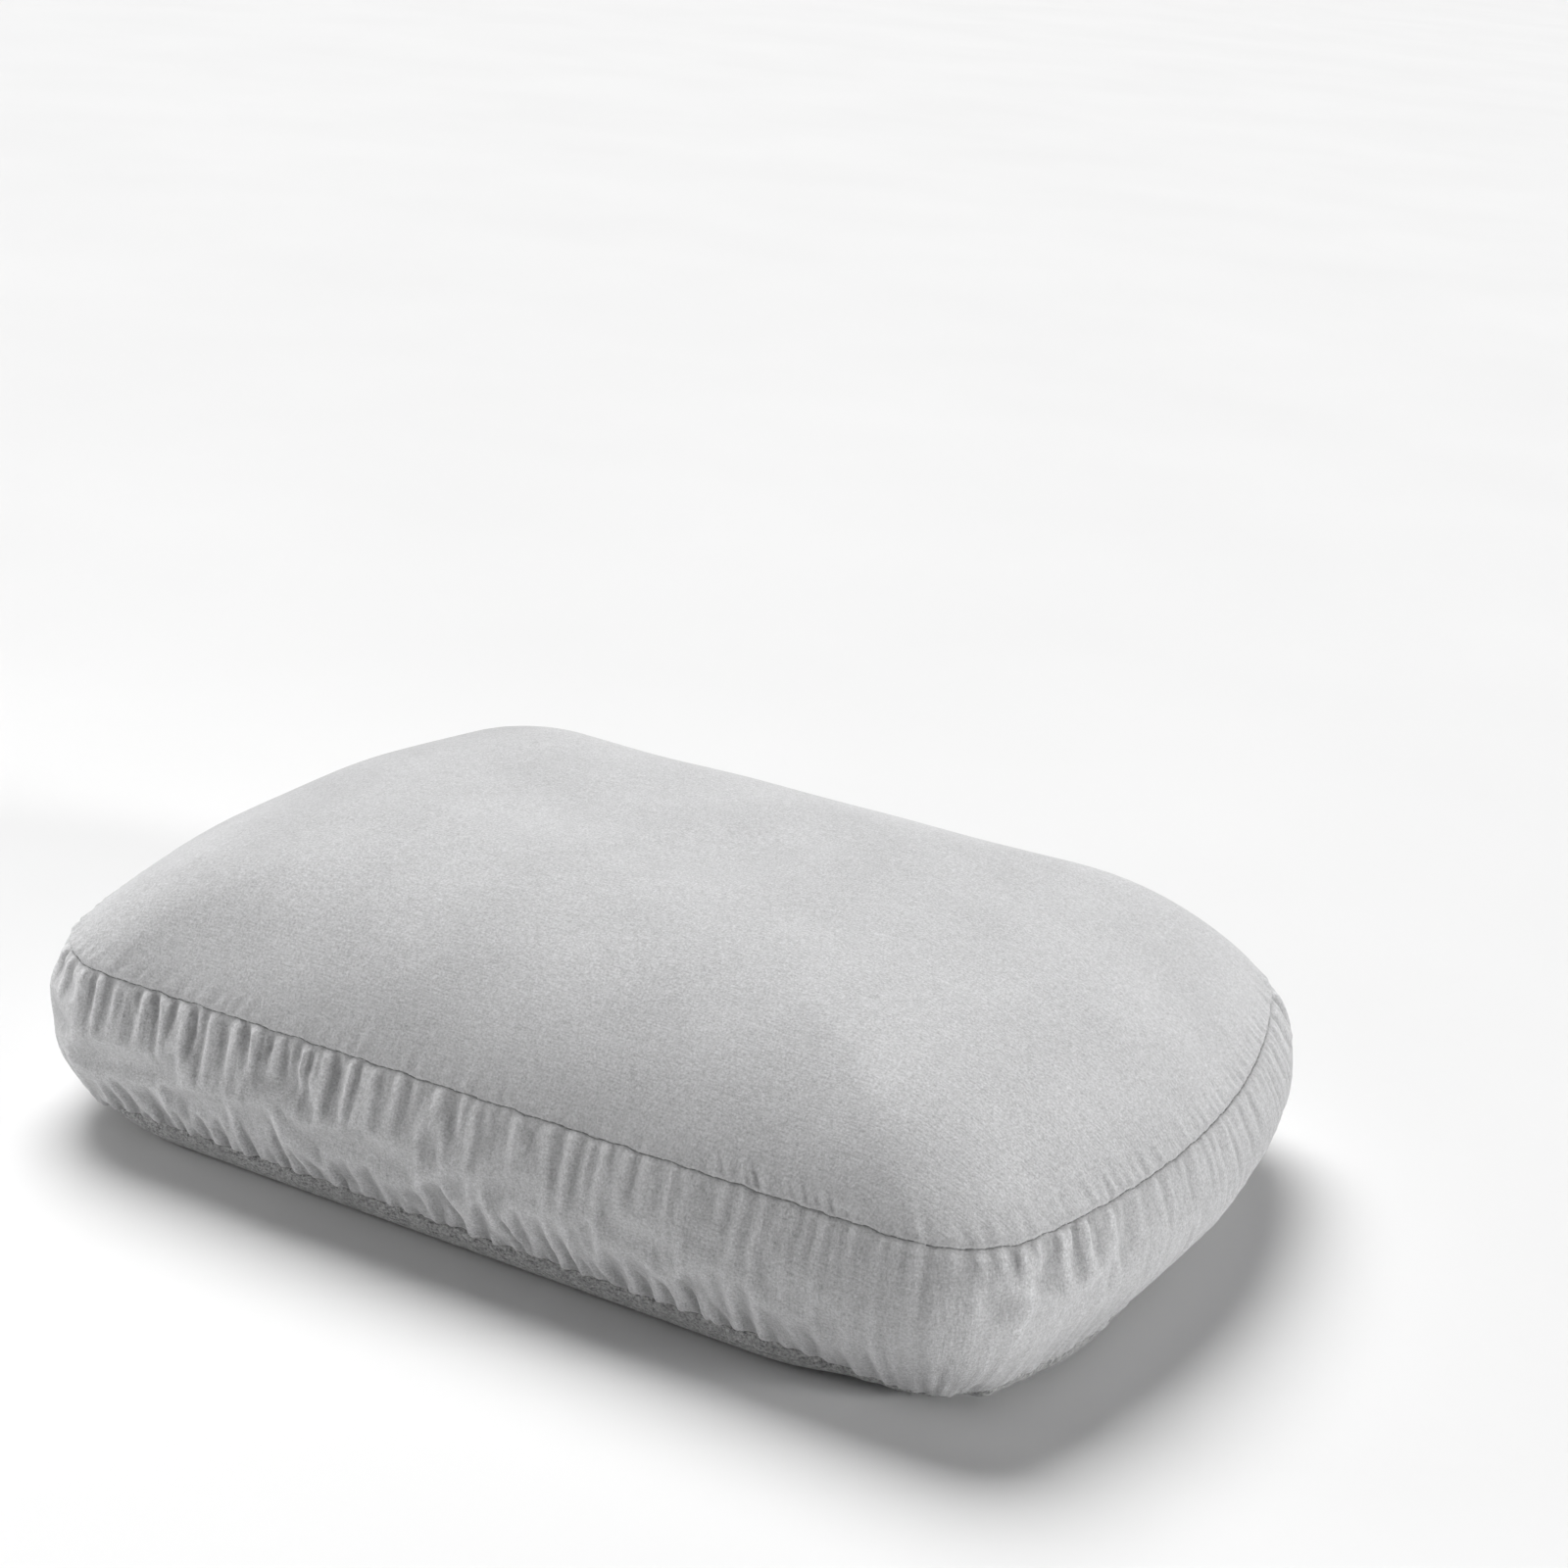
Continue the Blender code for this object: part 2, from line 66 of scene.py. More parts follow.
# ------------------------------------------------------------------ shape of the filled cover
CORNER_RADIUS = 0.040
END_BOW = 0.017
SIDE_BULGE = 0.009
BASE_ROLL = 0.010
CORNER_ROLL = 0.034          # the base rises off the floor from further in at its corners
TUCK_INSET = 0.009           # where the wall rolls under at a corner, its bottom seam goes in
TUCK_DROP = 0.006            # and down by these
DOME_FULLNESS = 4.0
DOME_ROUNDNESS = 0.85

COLUMNS_LONG = 150           # columns of the simulated mesh along a long side
COLUMNS_SHORT = 100
FINER = 3                    # the final mesh has this many times as many columns
CLOTH = 0.0009

# ------------------------------------------------------------------ plan of the top seam
CORNER_Y = HALF_WIDTH - CORNER_RADIUS
END_RADIUS = (CORNER_Y ** 2 + END_BOW ** 2) / (2 * END_BOW) + CORNER_RADIUS
END_X = HALF_LENGTH - END_RADIUS
CORNER_X = END_X + math.sqrt((END_RADIUS - CORNER_RADIUS) ** 2 - CORNER_Y ** 2)
END_ANGLE = math.asin(CORNER_Y / (END_RADIUS - CORNER_RADIUS))
MID_CORNER = (END_ANGLE + math.pi / 2) / 2


def unit(vectors):
    return vectors / np.maximum(np.linalg.norm(vectors, axis=-1, keepdims=True), 1e-12)


def running(steps):
    """Distances at the ends of the steps, from 0."""
    return np.concatenate([[0.0], np.cumsum(steps)])


def run_of_arc(centre, radius, start, stop):
    angles = np.linspace(start, stop, 60)
    normals = np.stack([np.cos(angles), np.sin(angles)], axis=1)
    return np.array(centre) + radius * normals, normals


def evenly(points, normals, cells):
    """cells + 1 evenly spaced points along a run, with their normals."""
    steps = np.linalg.norm(np.diff(points, axis=0), axis=1)
    along = running(steps)
    wanted = np.linspace(0.0, along[-1], cells + 1)
    place = np.stack([np.interp(wanted, along, points[:, axis]) for axis in (0, 1)], axis=1)
    facing = np.stack([np.interp(wanted, along, normals[:, axis]) for axis in (0, 1)], axis=1)
    return place, unit(facing)


def plan(finer=1):
    """Places and outward normals round the seam, anticlockwise from the front left corner."""
    end, end_normals = run_of_arc((END_X, 0.0), END_RADIUS, 0.0, END_ANGLE)
    low, low_normals = run_of_arc((CORNER_X, CORNER_Y), CORNER_RADIUS, END_ANGLE, MID_CORNER)
    high, high_normals = run_of_arc((CORNER_X, CORNER_Y), CORNER_RADIUS, MID_CORNER, math.pi / 2)
    short = evenly(np.concatenate([end, low[1:]]), np.concatenate([end_normals, low_normals[1:]]),
                   COLUMNS_SHORT * finer // 2)
    straight = np.stack([np.linspace(CORNER_X, 0.0, 40)[1:], np.full(39, HALF_WIDTH)], axis=1)
    upward = np.tile([0.0, 1.0], (39, 1))
    long = evenly(np.concatenate([high, straight]), np.concatenate([high_normals, upward]),
                  COLUMNS_LONG * finer // 2)
    pieces = []
    for run, (flip_x, flip_y), backwards in ((long, (-1, -1), False), (long, (1, -1), True),
                                             (short, (1, -1), True), (short, (1, 1), False),
                                             (long, (1, 1), False), (long, (-1, 1), True),
                                             (short, (-1, 1), True), (short, (-1, -1), False)):
        both = np.concatenate(run, axis=1) * (flip_x, flip_y, flip_x, flip_y)
        pieces.append((both[::-1] if backwards else both)[:-1])
    every = np.concatenate(pieces)
    return every[:, :2], every[:, 2:]


# ------------------------------------------------------------------ distances round the top seam
PLACES, NORMALS = plan(FINER)
COLUMNS = len(PLACES)
STEPS = np.linalg.norm(np.roll(PLACES, -1, axis=0) - PLACES, axis=1)
ALONG = running(STEPS)[:-1]
PERIMETER = float(STEPS.sum())
LONG_SIDE = float(STEPS[:COLUMNS_LONG * FINER].sum())
SHORT_SIDE = PERIMETER / 2 - LONG_SIDE


def at_front(x):
    return LONG_SIDE / 2 + x


def at_right(y):
    return LONG_SIDE + SHORT_SIDE / 2 + y


def at_back(x):
    return LONG_SIDE * 1.5 + SHORT_SIDE - x


def at_left(y):
    return LONG_SIDE * 2 + SHORT_SIDE * 1.5 - y


def column_at(along):
    """Places and normals of the top seam's outline at distances round it."""
    place = [np.interp(along, ALONG, PLACES[:, axis], period=PERIMETER) for axis in (0, 1)]
    facing = [np.interp(along, ALONG, NORMALS[:, axis], period=PERIMETER) for axis in (0, 1)]
    return np.stack(place, axis=1), np.stack(facing, axis=1)


SIDES = {"front": at_front, "right": at_right, "back": at_back, "left": at_left}


def at_keys(along, **tables):
    """Values read from a {place: value} table for each side, eased from each key to the next."""
    keys = sorted((SIDES[side](place) % PERIMETER, value)
                  for side, table in tables.items() for place, value in table.items())
    places = np.array([keys[-1][0] - PERIMETER] + [key[0] for key in keys] + [keys[0][0] + PERIMETER])
    values = np.array([keys[-1][1]] + [key[1] for key in keys] + [keys[0][1]])
    along = np.asarray(along) % PERIMETER
    before = np.clip(np.searchsorted(places, along, side="right") - 1, 0, len(places) - 2)
    share = (along - places[before]) / (places[before + 1] - places[before])
    share = share * share * (3.0 - 2.0 * share)
    return values[before] + share * (values[before + 1] - values[before])


def tucked(along):
    """How much the wall rolls under the pillow at its corners, from 0 to 1."""
    return at_keys(along, front={-0.19: 0.7, -0.15: 0.0, 0.11: 0.0, 0.16: 0.85, 0.195: 1.0},
                   right={-0.12: 0.2, -0.08: 0.0, 0.08: 0.0},
                   back={-0.19: 0.5, -0.13: 0.0, 0.13: 0.0, 0.19: 0.5},
                   left={-0.13: 1.0, -0.08: 0.2, 0.06: 0.0})


def lifted(along):
    """How much the base is lifted off the floor at its corners, from 0 to 1."""
    return at_keys(along, front={-0.19: 1.0, -0.14: 0.0, 0.12: 0.0, 0.19: 1.0},
                   right={-0.115: 0.4, -0.06: 0.1, 0.06: 0.3, 0.12: 1.0},
                   back={-0.19: 1.0, -0.13: 0.0, 0.13: 0.0, 0.19: 1.0},
                   left={-0.115: 1.0, -0.06: 0.2, 0.06: 0.2, 0.115: 1.0})


def fuller(along):
    """How much further the wall stands out at the right end."""
    return at_keys(along, right={-0.13: 0.0, -0.02: 0.003, 0.08: 0.0055, 0.125: 0.0040},
                   back={-0.2: 0.0, 0.17: 0.0})


def drawn_in(along):
    """How much further in the bottom seam lies at the right end."""
    return at_keys(along, front={0.15: 0.0}, right={-0.08: 0.0, -0.02: 0.004, 0.06: 0.010, 0.125: 0.010},
                   back={0.165: 0.0})


# ------------------------------------------------------------------ smooth form, by column and meridian
def dome(share):
    return (1.0 - np.clip(share, 0.0, 1.0) ** DOME_FULLNESS) ** DOME_ROUNDNESS


def dome_share_table():
    """Arc length up from the top seam against the share of the outline it lies at."""
    share = 1.0 - np.linspace(0.0, 1.0, 4000) ** 2.5
    height = (HEIGHT - TOP_SEAM) * dome(share)
    steps = np.hypot(np.diff(share * HALF_WIDTH), np.diff(height))
    return running(steps), share


ARC_TABLE, SHARE_TABLE = dome_share_table()
DOME_ARC = ARC_TABLE[-1]


def top_surface(places, arcs):
    """Points [column, ring, xyz] of the top panel, at arc lengths up from its seam."""
    share = np.interp(arcs, ARC_TABLE, SHARE_TABLE)
    height = TOP_SEAM + (HEIGHT - TOP_SEAM) * dome(share)
    flat = places[:, None, :] * share[None, :, None]
    return np.concatenate([flat, np.broadcast_to(height[None, :, None], flat.shape[:2] + (1,))], axis=2)


def wall_surface(along, shares):
    """Points of the side wall, at shares of the way down from the top seam."""
    places, normals = column_at(along)
    under = tucked(along)[:, None]
    offset = (SIDE_BULGE * np.sin(np.pi * shares) - SEAM_INSET * shares)[None, :]
    offset = offset + fuller(along)[:, None] * np.sin(np.pi * shares ** 0.85)[None, :]
    offset = offset - TUCK_INSET * under * shares[None, :] ** 3.5
    offset = offset - drawn_in(along)[:, None] * shares[None, :] ** 2.2
    flat = places[:, None, :] + normals[:, None, :] * offset[..., None]
    height = TOP_SEAM - (WALL_HEIGHT + TUCK_DROP * under) * shares[None, :]
    return np.concatenate([flat, height[..., None]], axis=2)


def base_surface(along, turns):
    """Points of the underside: turns 0 to 1 go round the rolled edge, 1 to 2 in to the middle."""
    places, normals = column_at(along)
    under = tucked(along)[:, None]
    angle = np.clip(turns, 0.0, 1.0) * math.pi / 2
    inward = np.clip(2.0 - turns, 0.0, 1.0)
    inset = SEAM_INSET + TUCK_INSET * under + drawn_in(along)[:, None]
    turned_in = (1.0 - np.cos(angle))[None, :]
    offset = -inset - BASE_ROLL * turned_in
    lift = (CORNER_ROLL - BASE_ROLL) * lifted(along)[:, None] * turned_in
    flat = places[:, None, :] + normals[:, None, :] * offset[..., None]
    flat = flat - unit(places)[:, None] * lift[..., None]
    flat = flat * inward[None, :, None]
    height = (BOTTOM_SEAM - TUCK_DROP * under) * (1.0 - np.sin(angle))[None, :]
    return np.concatenate([flat, height[..., None]], axis=2)


def grid_normals(points, closed=True):
    """Outward unit normals of a [column, ring] grid whose rings run down the outside."""
    if closed:
        around = np.roll(points, -1, axis=0) - np.roll(points, 1, axis=0)
    else:
        around = np.gradient(points, axis=0)
    down = np.gradient(points, axis=1)
    return unit(np.cross(down, around))


def between(values, places, closed=False):
    """Smooth (Catmull-Rom) values of a row-stacked array at fractional row places."""
    count = values.shape[0]
    first = np.floor(places).astype(int)
    share = (places - first).reshape((-1,) + (1,) * (values.ndim - 1))
    rows = [first + step for step in (-1, 0, 1, 2)]
    rows = [row % count if closed else np.clip(row, 0, count - 1) for row in rows]
    a, b, c, d = (values[row] for row in rows)
    return b + share * (c - a + share * (2 * a - 5 * b + 4 * c - d + share * (3 * (b - c) + d - a))) / 2


def graded(length, first, growth, largest):
    """Places from 0 to length, close together at 0 and wider apart further on."""
    places = [0.0]
    step = first
    while places[-1] + step < length:
        places.append(places[-1] + step)
        step = min(step * growth, largest)
    places = np.array(places)
    return places * (length / places[-1])


def graded_both(length, first, growth, largest):
    """Places from 0 to length, close together at both ends."""
    half = graded(length / 2, first, growth, largest)
    return np.concatenate([half, length - half[-2::-1]])


# ------------------------------------------------------------------ gathers along the seams
def pucker(field, along, reach, at, length, width, depth, lean):
    """Adds one crease that starts at a seam: a narrow valley with a ridge on each side."""
    away = along[:, None] - at - lean * reach
    away = (away + PERIMETER / 2) % PERIMETER - PERIMETER / 2
    near = np.flatnonzero(np.abs(away).min(axis=1) < 4 * width)
    across = away[near] / width
    down = np.clip(reach[near] / length, 0.0, 1.0)
    shape = -np.exp(-across ** 2) + 0.5 * np.exp(-((np.abs(across) - 1.7) / 0.75) ** 2)
    fade = (1.0 - np.exp(-(reach[near] / 0.0022) ** 1.5)) * (1.0 - down) ** 1.4
    field[near] += depth * shape * fade


def gather(field, along, reach, seed, start, stop, spacing, lengths, depths, widths, lean=0.0):
    """A run of creases along a seam, unevenly spaced and sized."""
    dice = random.Random(seed)
    at = start + spacing * dice.uniform(0.1, 0.5)
    while at < stop:
        tilt = lean + dice.uniform(-0.12, 0.12)
        pucker(field, along, reach, at, dice.uniform(*lengths), dice.uniform(*widths),
               dice.uniform(*depths), tilt)
        at += spacing * dice.uniform(0.55, 1.5)


# Rows: seed, start, stop, spacing, lengths, depths, widths and lean of a run of creases
UNDER_TOP_SEAM = (
    (11, at_front(-0.170), at_front(-0.020), 0.0125, (0.015, 0.036), (0.0010, 0.0020), (0.0012, 0.0019),
     0.05),
    (12, at_front(-0.020), at_front(0.110), 0.0130, (0.008, 0.022), (0.0002, 0.0005), (0.0014, 0.0024)),
    (13, at_right(-0.130), at_right(-0.090), 0.0064, (0.009, 0.016), (0.0009, 0.0015), (0.0010, 0.0014)),
    (14, at_right(-0.080), at_right(0.110), 0.0150, (0.006, 0.014), (0.0002, 0.0004), (0.0014, 0.0022)),
    (15, at_right(0.110), at_left(-0.140), 0.0100, (0.010, 0.024), (0.0003, 0.0008), (0.0013, 0.0022)))
OVER_BOTTOM_SEAM = (
    (21, at_front(-0.190), at_front(-0.030), 0.0105, (0.008, 0.017), (0.0008, 0.0015), (0.0011, 0.0016),
     -0.25),
    (22, at_front(-0.030), at_front(0.118), 0.0105, (0.014, 0.038), (0.0011, 0.0023), (0.0012, 0.0019),
     -0.25),
    (23, at_front(0.118), at_front(0.190), 0.0090, (0.004, 0.009), (0.0003, 0.0007), (0.0010, 0.0016)),
    (24, at_right(-0.130), at_right(0.130), 0.0140, (0.006, 0.014), (0.0002, 0.0006), (0.0012, 0.0020)),
    (25, at_right(0.130), at_left(-0.120), 0.0095, (0.008, 0.022), (0.0004, 0.0010), (0.0012, 0.0020),
     0.15))
OVER_TOP_SEAM = (
    (31, at_front(-0.180), at_front(0.090), 0.0210, (0.004, 0.008), (0.0001, 0.0003), (0.0012, 0.0018)),
    (32, at_front(0.092), at_front(0.145), 0.0062, (0.007, 0.015), (0.0007, 0.0011), (0.0010, 0.0014),
     -0.3),
    (33, at_right(-0.105), at_right(0.115), 0.0095, (0.007, 0.016), (0.0004, 0.0008), (0.0011, 0.0016),
     -0.1),
    (34, at_right(0.115), at_left(-0.140), 0.0130, (0.006, 0.014), (0.0002, 0.0005), (0.0012, 0.0020)))


def gathers(along, *seams):
    """Creases of (distance from a seam, rows) pairs, as heights over the smooth cloth."""
    field = np.zeros(seams[0][0].shape)
    for reach, rows in seams:
        for row in rows:
            gather(field, along, reach, *row)
    return field


# ------------------------------------------------------------------ relief of the cover
WALL_SHARES = np.linspace(0.0, 1.0, 800)
WALL_OFFSETS = SIDE_BULGE * np.sin(np.pi * WALL_SHARES) - SEAM_INSET * WALL_SHARES
WALL_DROP = WALL_HEIGHT / (len(WALL_SHARES) - 1)
WALL_ARCS = running(np.hypot(np.diff(WALL_OFFSETS), WALL_DROP))
WALL_ARC = float(WALL_ARCS[-1])


def new_object(name, data):
    thing = bpy.data.objects.new(name, data)
    bpy.context.scene.collection.objects.link(thing)
    return thing


def new_mesh(name, points, polygons):
    mesh = bpy.data.meshes.new(name)
    mesh.from_pydata(np.asarray(points).reshape(-1, 3).tolist(), [], polygons)
    mesh.shade_smooth()
    return mesh


def grid_faces(columns, rings, closed):
    """Vertex numbers [column, ring], and the four-sided faces between them as rows."""
    index = np.arange(columns * rings).reshape(columns, rings)
    here = index if closed else index[:-1]
    beside = np.roll(index, -1, axis=0) if closed else index[1:]
    faces = np.stack([here[:, :-1], here[:, 1:], beside[:, 1:], beside[:, :-1]], axis=-1)
    return index, faces.reshape(-1, 4)


def tube_mesh(name, rings):
    """Tubes with closed ends, from their rings of points [tube, ring, side, xyz]."""
    index = np.arange(rings.size // 3).reshape(rings.shape[:3])
    low, high = index[:, :-1], index[:, 1:]
    faces = np.stack([low, np.roll(low, -1, axis=2), np.roll(high, -1, axis=2), high], axis=-1)
    ends = index[:, 0, ::-1].tolist() + index[:, -1].tolist()
    return new_mesh(name, rings, faces.reshape(-1, 4).tolist() + ends)


def round_offsets(across, other, sides):
    """Offsets [place, side, xyz] of a unit circle about a path, from two directions across it."""
    angles = np.arange(sides) * 2 * math.pi / sides
    return (np.cos(angles)[None, :, None] * across[:, None]
            + np.sin(angles)[None, :, None] * other[:, None])


# ------------------------------------------------------------------ cloth simulation of the gathered cover
SIM_FINER = 2
SIM_RISE = 0.028             # the simulated cloth goes this far up the top panel
SIM_TOP_RINGS, SIM_WALL_RINGS = 15, 32
SIM_FRAMES = 12
START_WAVES, START_KICK = 60, 0.00002            # small waves that the gathers start from
UNDER_TOP_REACH, OVER_BOTTOM_REACH, OVER_TOP_REACH = 0.017, 0.019, 0.013   # of the growth, from its seam
SIM_GROWTH = 0.11            # the cloth is up to this much too big for its place, so it gathers
SIM_CAP = 0.0042             # no point moves further than this
FREE_GOAL = 0.19             # how strongly the filling holds the cloth, as a weight to the fourth power
CALM_GOAL = 0.46             # the same, on the top panel, which gathers little
ZIP_CALM = 0.0095            # the cloth this near the zip is held still


def growth_under_top_seam(along):
    return at_keys(along, front={-0.175: 0.75, -0.06: 0.75, -0.02: 0.40, 0.06: 0.20, 0.11: 0.05,
                          0.175: 0.05},
                   right={-0.125: 0.75, -0.095: 0.70, -0.075: 0.12, 0.08: 0.12, 0.125: 0.6},
                   back={-0.15: 0.55, 0.15: 0.55}, left={-0.11: 0.9, 0.0: 0.55})


def growth_over_bottom_seam(along):
    return at_keys(along, front={-0.17: 0.75, -0.04: 0.50, 0.0: 0.55, 0.115: 0.50, 0.14: 0.20},
                   right={-0.13: 0.12, -0.06: 0.10, 0.0: 0.30, 0.1: 0.35}, back={-0.15: 0.5, 0.15: 0.5},
                   left={-0.11: 0.8, 0.0: 0.5})


def growth_over_top_seam(along):
    return at_keys(along, front={-0.175: 0.06, -0.12: 0.02, 0.085: 0.02, 0.105: 0.16, 0.14: 0.16,
                          0.17: 0.05}, right={-0.11: 0.06, -0.09: 0.22, 0.1: 0.26, 0.125: 0.25},
                   back={-0.15: 0.35, 0.1: 0.35}, left={-0.12: 0.65, 0.0: 0.35})


def add_weights(thing, name, weights):
    """A vertex group with a weight for each vertex, in 40 steps."""
    group = thing.vertex_groups.new(name=name)
    steps = np.round(weights.reshape(-1) * 40).astype(int)
    for step in np.unique(steps):
        group.add(np.flatnonzero(steps == step).tolist(), step / 40, "REPLACE")


def gathered_cloth():
    """How far the simulated cloth moves the cover near its seams: [column, ring, xyz]."""
    places, normals = plan(SIM_FINER)
    along = running(np.linalg.norm(np.roll(places, -1, axis=0) - places, axis=1))[:-1]
    rise = np.linspace(SIM_RISE, 0.0, SIM_TOP_RINGS)
    fall = np.linspace(0.0, WALL_ARC, SIM_WALL_RINGS)[1:]
    smooth = np.concatenate([top_surface(places, rise),
                             wall_surface(along, np.interp(fall, WALL_ARCS, WALL_SHARES))], axis=1)
    outward = grid_normals(smooth)
    ring_place = np.concatenate([-rise, fall])
    rng = np.random.default_rng(7)
    kick = np.zeros(smooth.shape[:2])
    for _ in range(START_WAVES):
        turns = rng.integers(90, 260)
        kick += np.sin(2 * math.pi * (turns * along[:, None] / PERIMETER + rng.random())
                       + ring_place[None, :] * rng.normal() * 60)
    start = smooth + outward * (kick * START_KICK)[..., None]

    column, from_top = along[:, None], np.abs(ring_place)[None, :]
    from_bottom = WALL_ARC - ring_place[None, :]
    above = ring_place[None, :] < 0
    under_top = growth_under_top_seam(column) * np.exp(-(from_top / UNDER_TOP_REACH) ** 2)
    over_bottom = growth_over_bottom_seam(column) * np.exp(-(from_bottom / OVER_BOTTOM_REACH) ** 2)
    over_top = growth_over_top_seam(column) * np.exp(-(from_top / OVER_TOP_REACH) ** 2)
    growth = np.clip(np.where(above, over_top, under_top + over_bottom), 0.0, 1.0)
    hold = np.where(above, CALM_GOAL, np.full(growth.shape, FREE_GOAL))
    hold[:, [0, len(rise) - 1, -1]] = 1.0
    at_zip = np.abs(smooth[..., 2] - ZIP_HEIGHT) < ZIP_CALM
    behind = (smooth[..., 1] > 0) & (np.abs(smooth[..., 0]) < STRIP_END) & ~above
    hold[at_zip & behind] = 1.0
    growth[at_zip & behind] = 0.0

    columns, rings = growth.shape
    faces = grid_faces(columns, rings, closed=True)[1]
    cloth = new_object("simulated", new_mesh("simulated", start, faces.tolist()))
    add_weights(cloth, "hold", hold)
    add_weights(cloth, "no_growth", 1.0 - growth)
    modifier = cloth.modifiers.new("cloth", "CLOTH")
    settings = modifier.settings
    settings.quality = 5
    settings.mass = 0.01
    settings.bending_stiffness = 200.0
    settings.vertex_group_mass = "hold"
    settings.vertex_group_shrink = "no_growth"
    settings.shrink_min = -SIM_GROWTH
    settings.shrink_max = 0.0
    settings.effector_weights.gravity = 0.0
    modifier.collision_settings.use_collision = False
    for frame_number in range(1, SIM_FRAMES + 1):
        bpy.context.scene.frame_set(frame_number)
    result = cloth.evaluated_get(bpy.context.evaluated_depsgraph_get())
    moved = np.zeros(columns * rings * 3, np.float32)
    result.data.vertices.foreach_get("co", moved)
    bpy.data.objects.remove(cloth)
    bpy.context.scene.frame_set(1)
    change = moved.reshape(columns, rings, 3).astype(float) - smooth
    size = np.linalg.norm(change, axis=2, keepdims=True)
    change *= np.minimum(1.0, SIM_CAP / np.maximum(size, 1e-9))
    return change, along, ring_place


SIMULATED = gathered_cloth()


def cloth_change(along, ring_places):
    """The simulated movement at distances round and up (negative) or down from the top seam."""
    if SIMULATED is None:
        return np.zeros((len(along), len(ring_places), 3))
    change, sim_along, sim_places = SIMULATED
    columns = len(sim_along)
    ends = np.append(sim_along, PERIMETER)
    column = np.interp(along % PERIMETER, ends, np.arange(columns + 1))
    picked = between(change, column, closed=True)
    ring = np.interp(ring_places, sim_places, np.arange(len(sim_places)))
    found = between(picked.transpose(1, 0, 2), ring).transpose(1, 0, 2)
    return found * (ring_places >= sim_places[0])[None, :, None]


DOME_SHARE = 0.985           # rings go this far towards the top's middle point
GATHER_RISE = 0.0085         # the gathers fade out this far up the top panel
SEAM_PINCH = 0.0009          # the cloth turns in to its seams by this
PINCH_REACH = 0.0012
EDGE_REACH = 0.004           # the cloth is a little worn this near its seams
SEAM_REACH = 0.009           # a seam's wander carries this far into the cloth
BASE_SEAM_REACH = 0.004
TOP_SWELL, TOP_SWELL_WAVE = 0.0007, 0.075        # low swells in the filled top panel
WALL_SWELL, WALL_SWELL_WAVE = 0.0006, 0.050
BOTTOM_LIP = 0.0008          # the wall stands out by this just over the bottom seam,
BOTTOM_LIP_DROP = 0.0005     # and hangs over it by this
TOP_LIP = 0.0004
FULL_PAINTED_SHADE = 0.0008           # a crease this deep takes the darkest painted shade, and a ridge this high the brightest painted light
TOP_PAINTED_SHADE_SHARE = 0.8         # of that painted shade and light, on the top panel
PAINTED_SHADE_WINDOW = 27             # columns that a crease is compared with


def waver(along, seed, size, periods):
    """A smooth closed wander round the outline, of about the given size."""
    dice = random.Random(seed)
    total = np.zeros(np.shape(along))
    for count in periods:
        turns = round(count * dice.uniform(0.85, 1.15))
        total += np.sin(2 * math.pi * (turns * along / PERIMETER + dice.random()))
    return size * total / math.sqrt(len(periods))


def top_seam_rise(along):
    return waver(along, 41, 0.00030, (61, 97, 143))


def bottom_seam_rise(along):
    return waver(along, 42, 0.00035, (43, 71, 101))


def soft_noise(points, seed, wavelength, count=14):
    """Smooth random values near -1 to 1 in space, from summed plane waves."""
    rng = np.random.default_rng(seed)
    total = np.zeros(points.shape[:-1])
    for _ in range(count):
        direction = rng.normal(size=3)
        direction *= 2 * math.pi / (np.linalg.norm(direction) * wavelength * rng.uniform(0.7, 1.5))
        total += np.sin(points @ direction + rng.uniform(0, 2 * math.pi))
    return total / math.sqrt(count / 2) / 2


def crease_height_for_painted_shade(height):
    """How far each point stands above (+) or below (-) its neighbours along the seam, from -1 to 1; the
    cover's colour takes painted shade in the creases and painted light on the ridges from it.
    """
    window = np.hanning(PAINTED_SHADE_WINDOW)
    window /= window.sum()
    reach = PAINTED_SHADE_WINDOW // 2
    around = np.concatenate([height[-reach:], height, height[:reach]], axis=0)
    local = sum(weight * around[step:step + len(height)] for step, weight in enumerate(window))
    return np.clip((height - local) / FULL_PAINTED_SHADE, -1.0, 1.0)


def unrolled(points, reach, inner):
    """Cloth coordinates of a panel: directions from its middle, at distances along the cloth."""
    from_middle = np.linalg.norm(points[:, inner, :2], axis=1)[:, None] + reach[:, inner][:, None] - reach
    return unit(points[..., :2]) * from_middle[..., None]


def top_panel_points():
    arcs = graded(DOME_ARC * DOME_SHARE, 0.00035, 1.13, 0.0042)[::-1]
    points = top_surface(PLACES, arcs)
    steps = np.linalg.norm(np.diff(points, axis=1), axis=2)
    reach = np.concatenate([np.cumsum(steps[:, ::-1], axis=1)[:, ::-1], np.zeros((COLUMNS, 1))], axis=1)
    outward = grid_normals(points)
    points = points + cloth_change(ALONG, -arcs) * np.exp(-(arcs / GATHER_RISE) ** 2)[None, :, None]
    pinch = SEAM_PINCH * np.exp(-reach / PINCH_REACH)
    creases = gathers(ALONG, (reach, OVER_TOP_SEAM))
    # painted shade in the creases and painted light on their ridges, weaker on the top panel
    painted_crease_shade = TOP_PAINTED_SHADE_SHARE * crease_height_for_painted_shade(creases)
    relief = creases + TOP_SWELL * soft_noise(points, 51, TOP_SWELL_WAVE) * np.clip(reach / 0.03, 0, 1)
    points = points + outward * relief[..., None]
    points[..., :2] -= NORMALS[:, None] * pinch[..., None]
    points[..., 2] += top_seam_rise(ALONG)[:, None] * np.exp(-reach / SEAM_REACH)
    return points, unrolled(points, reach, 0), np.exp(-reach / EDGE_REACH), painted_crease_shade


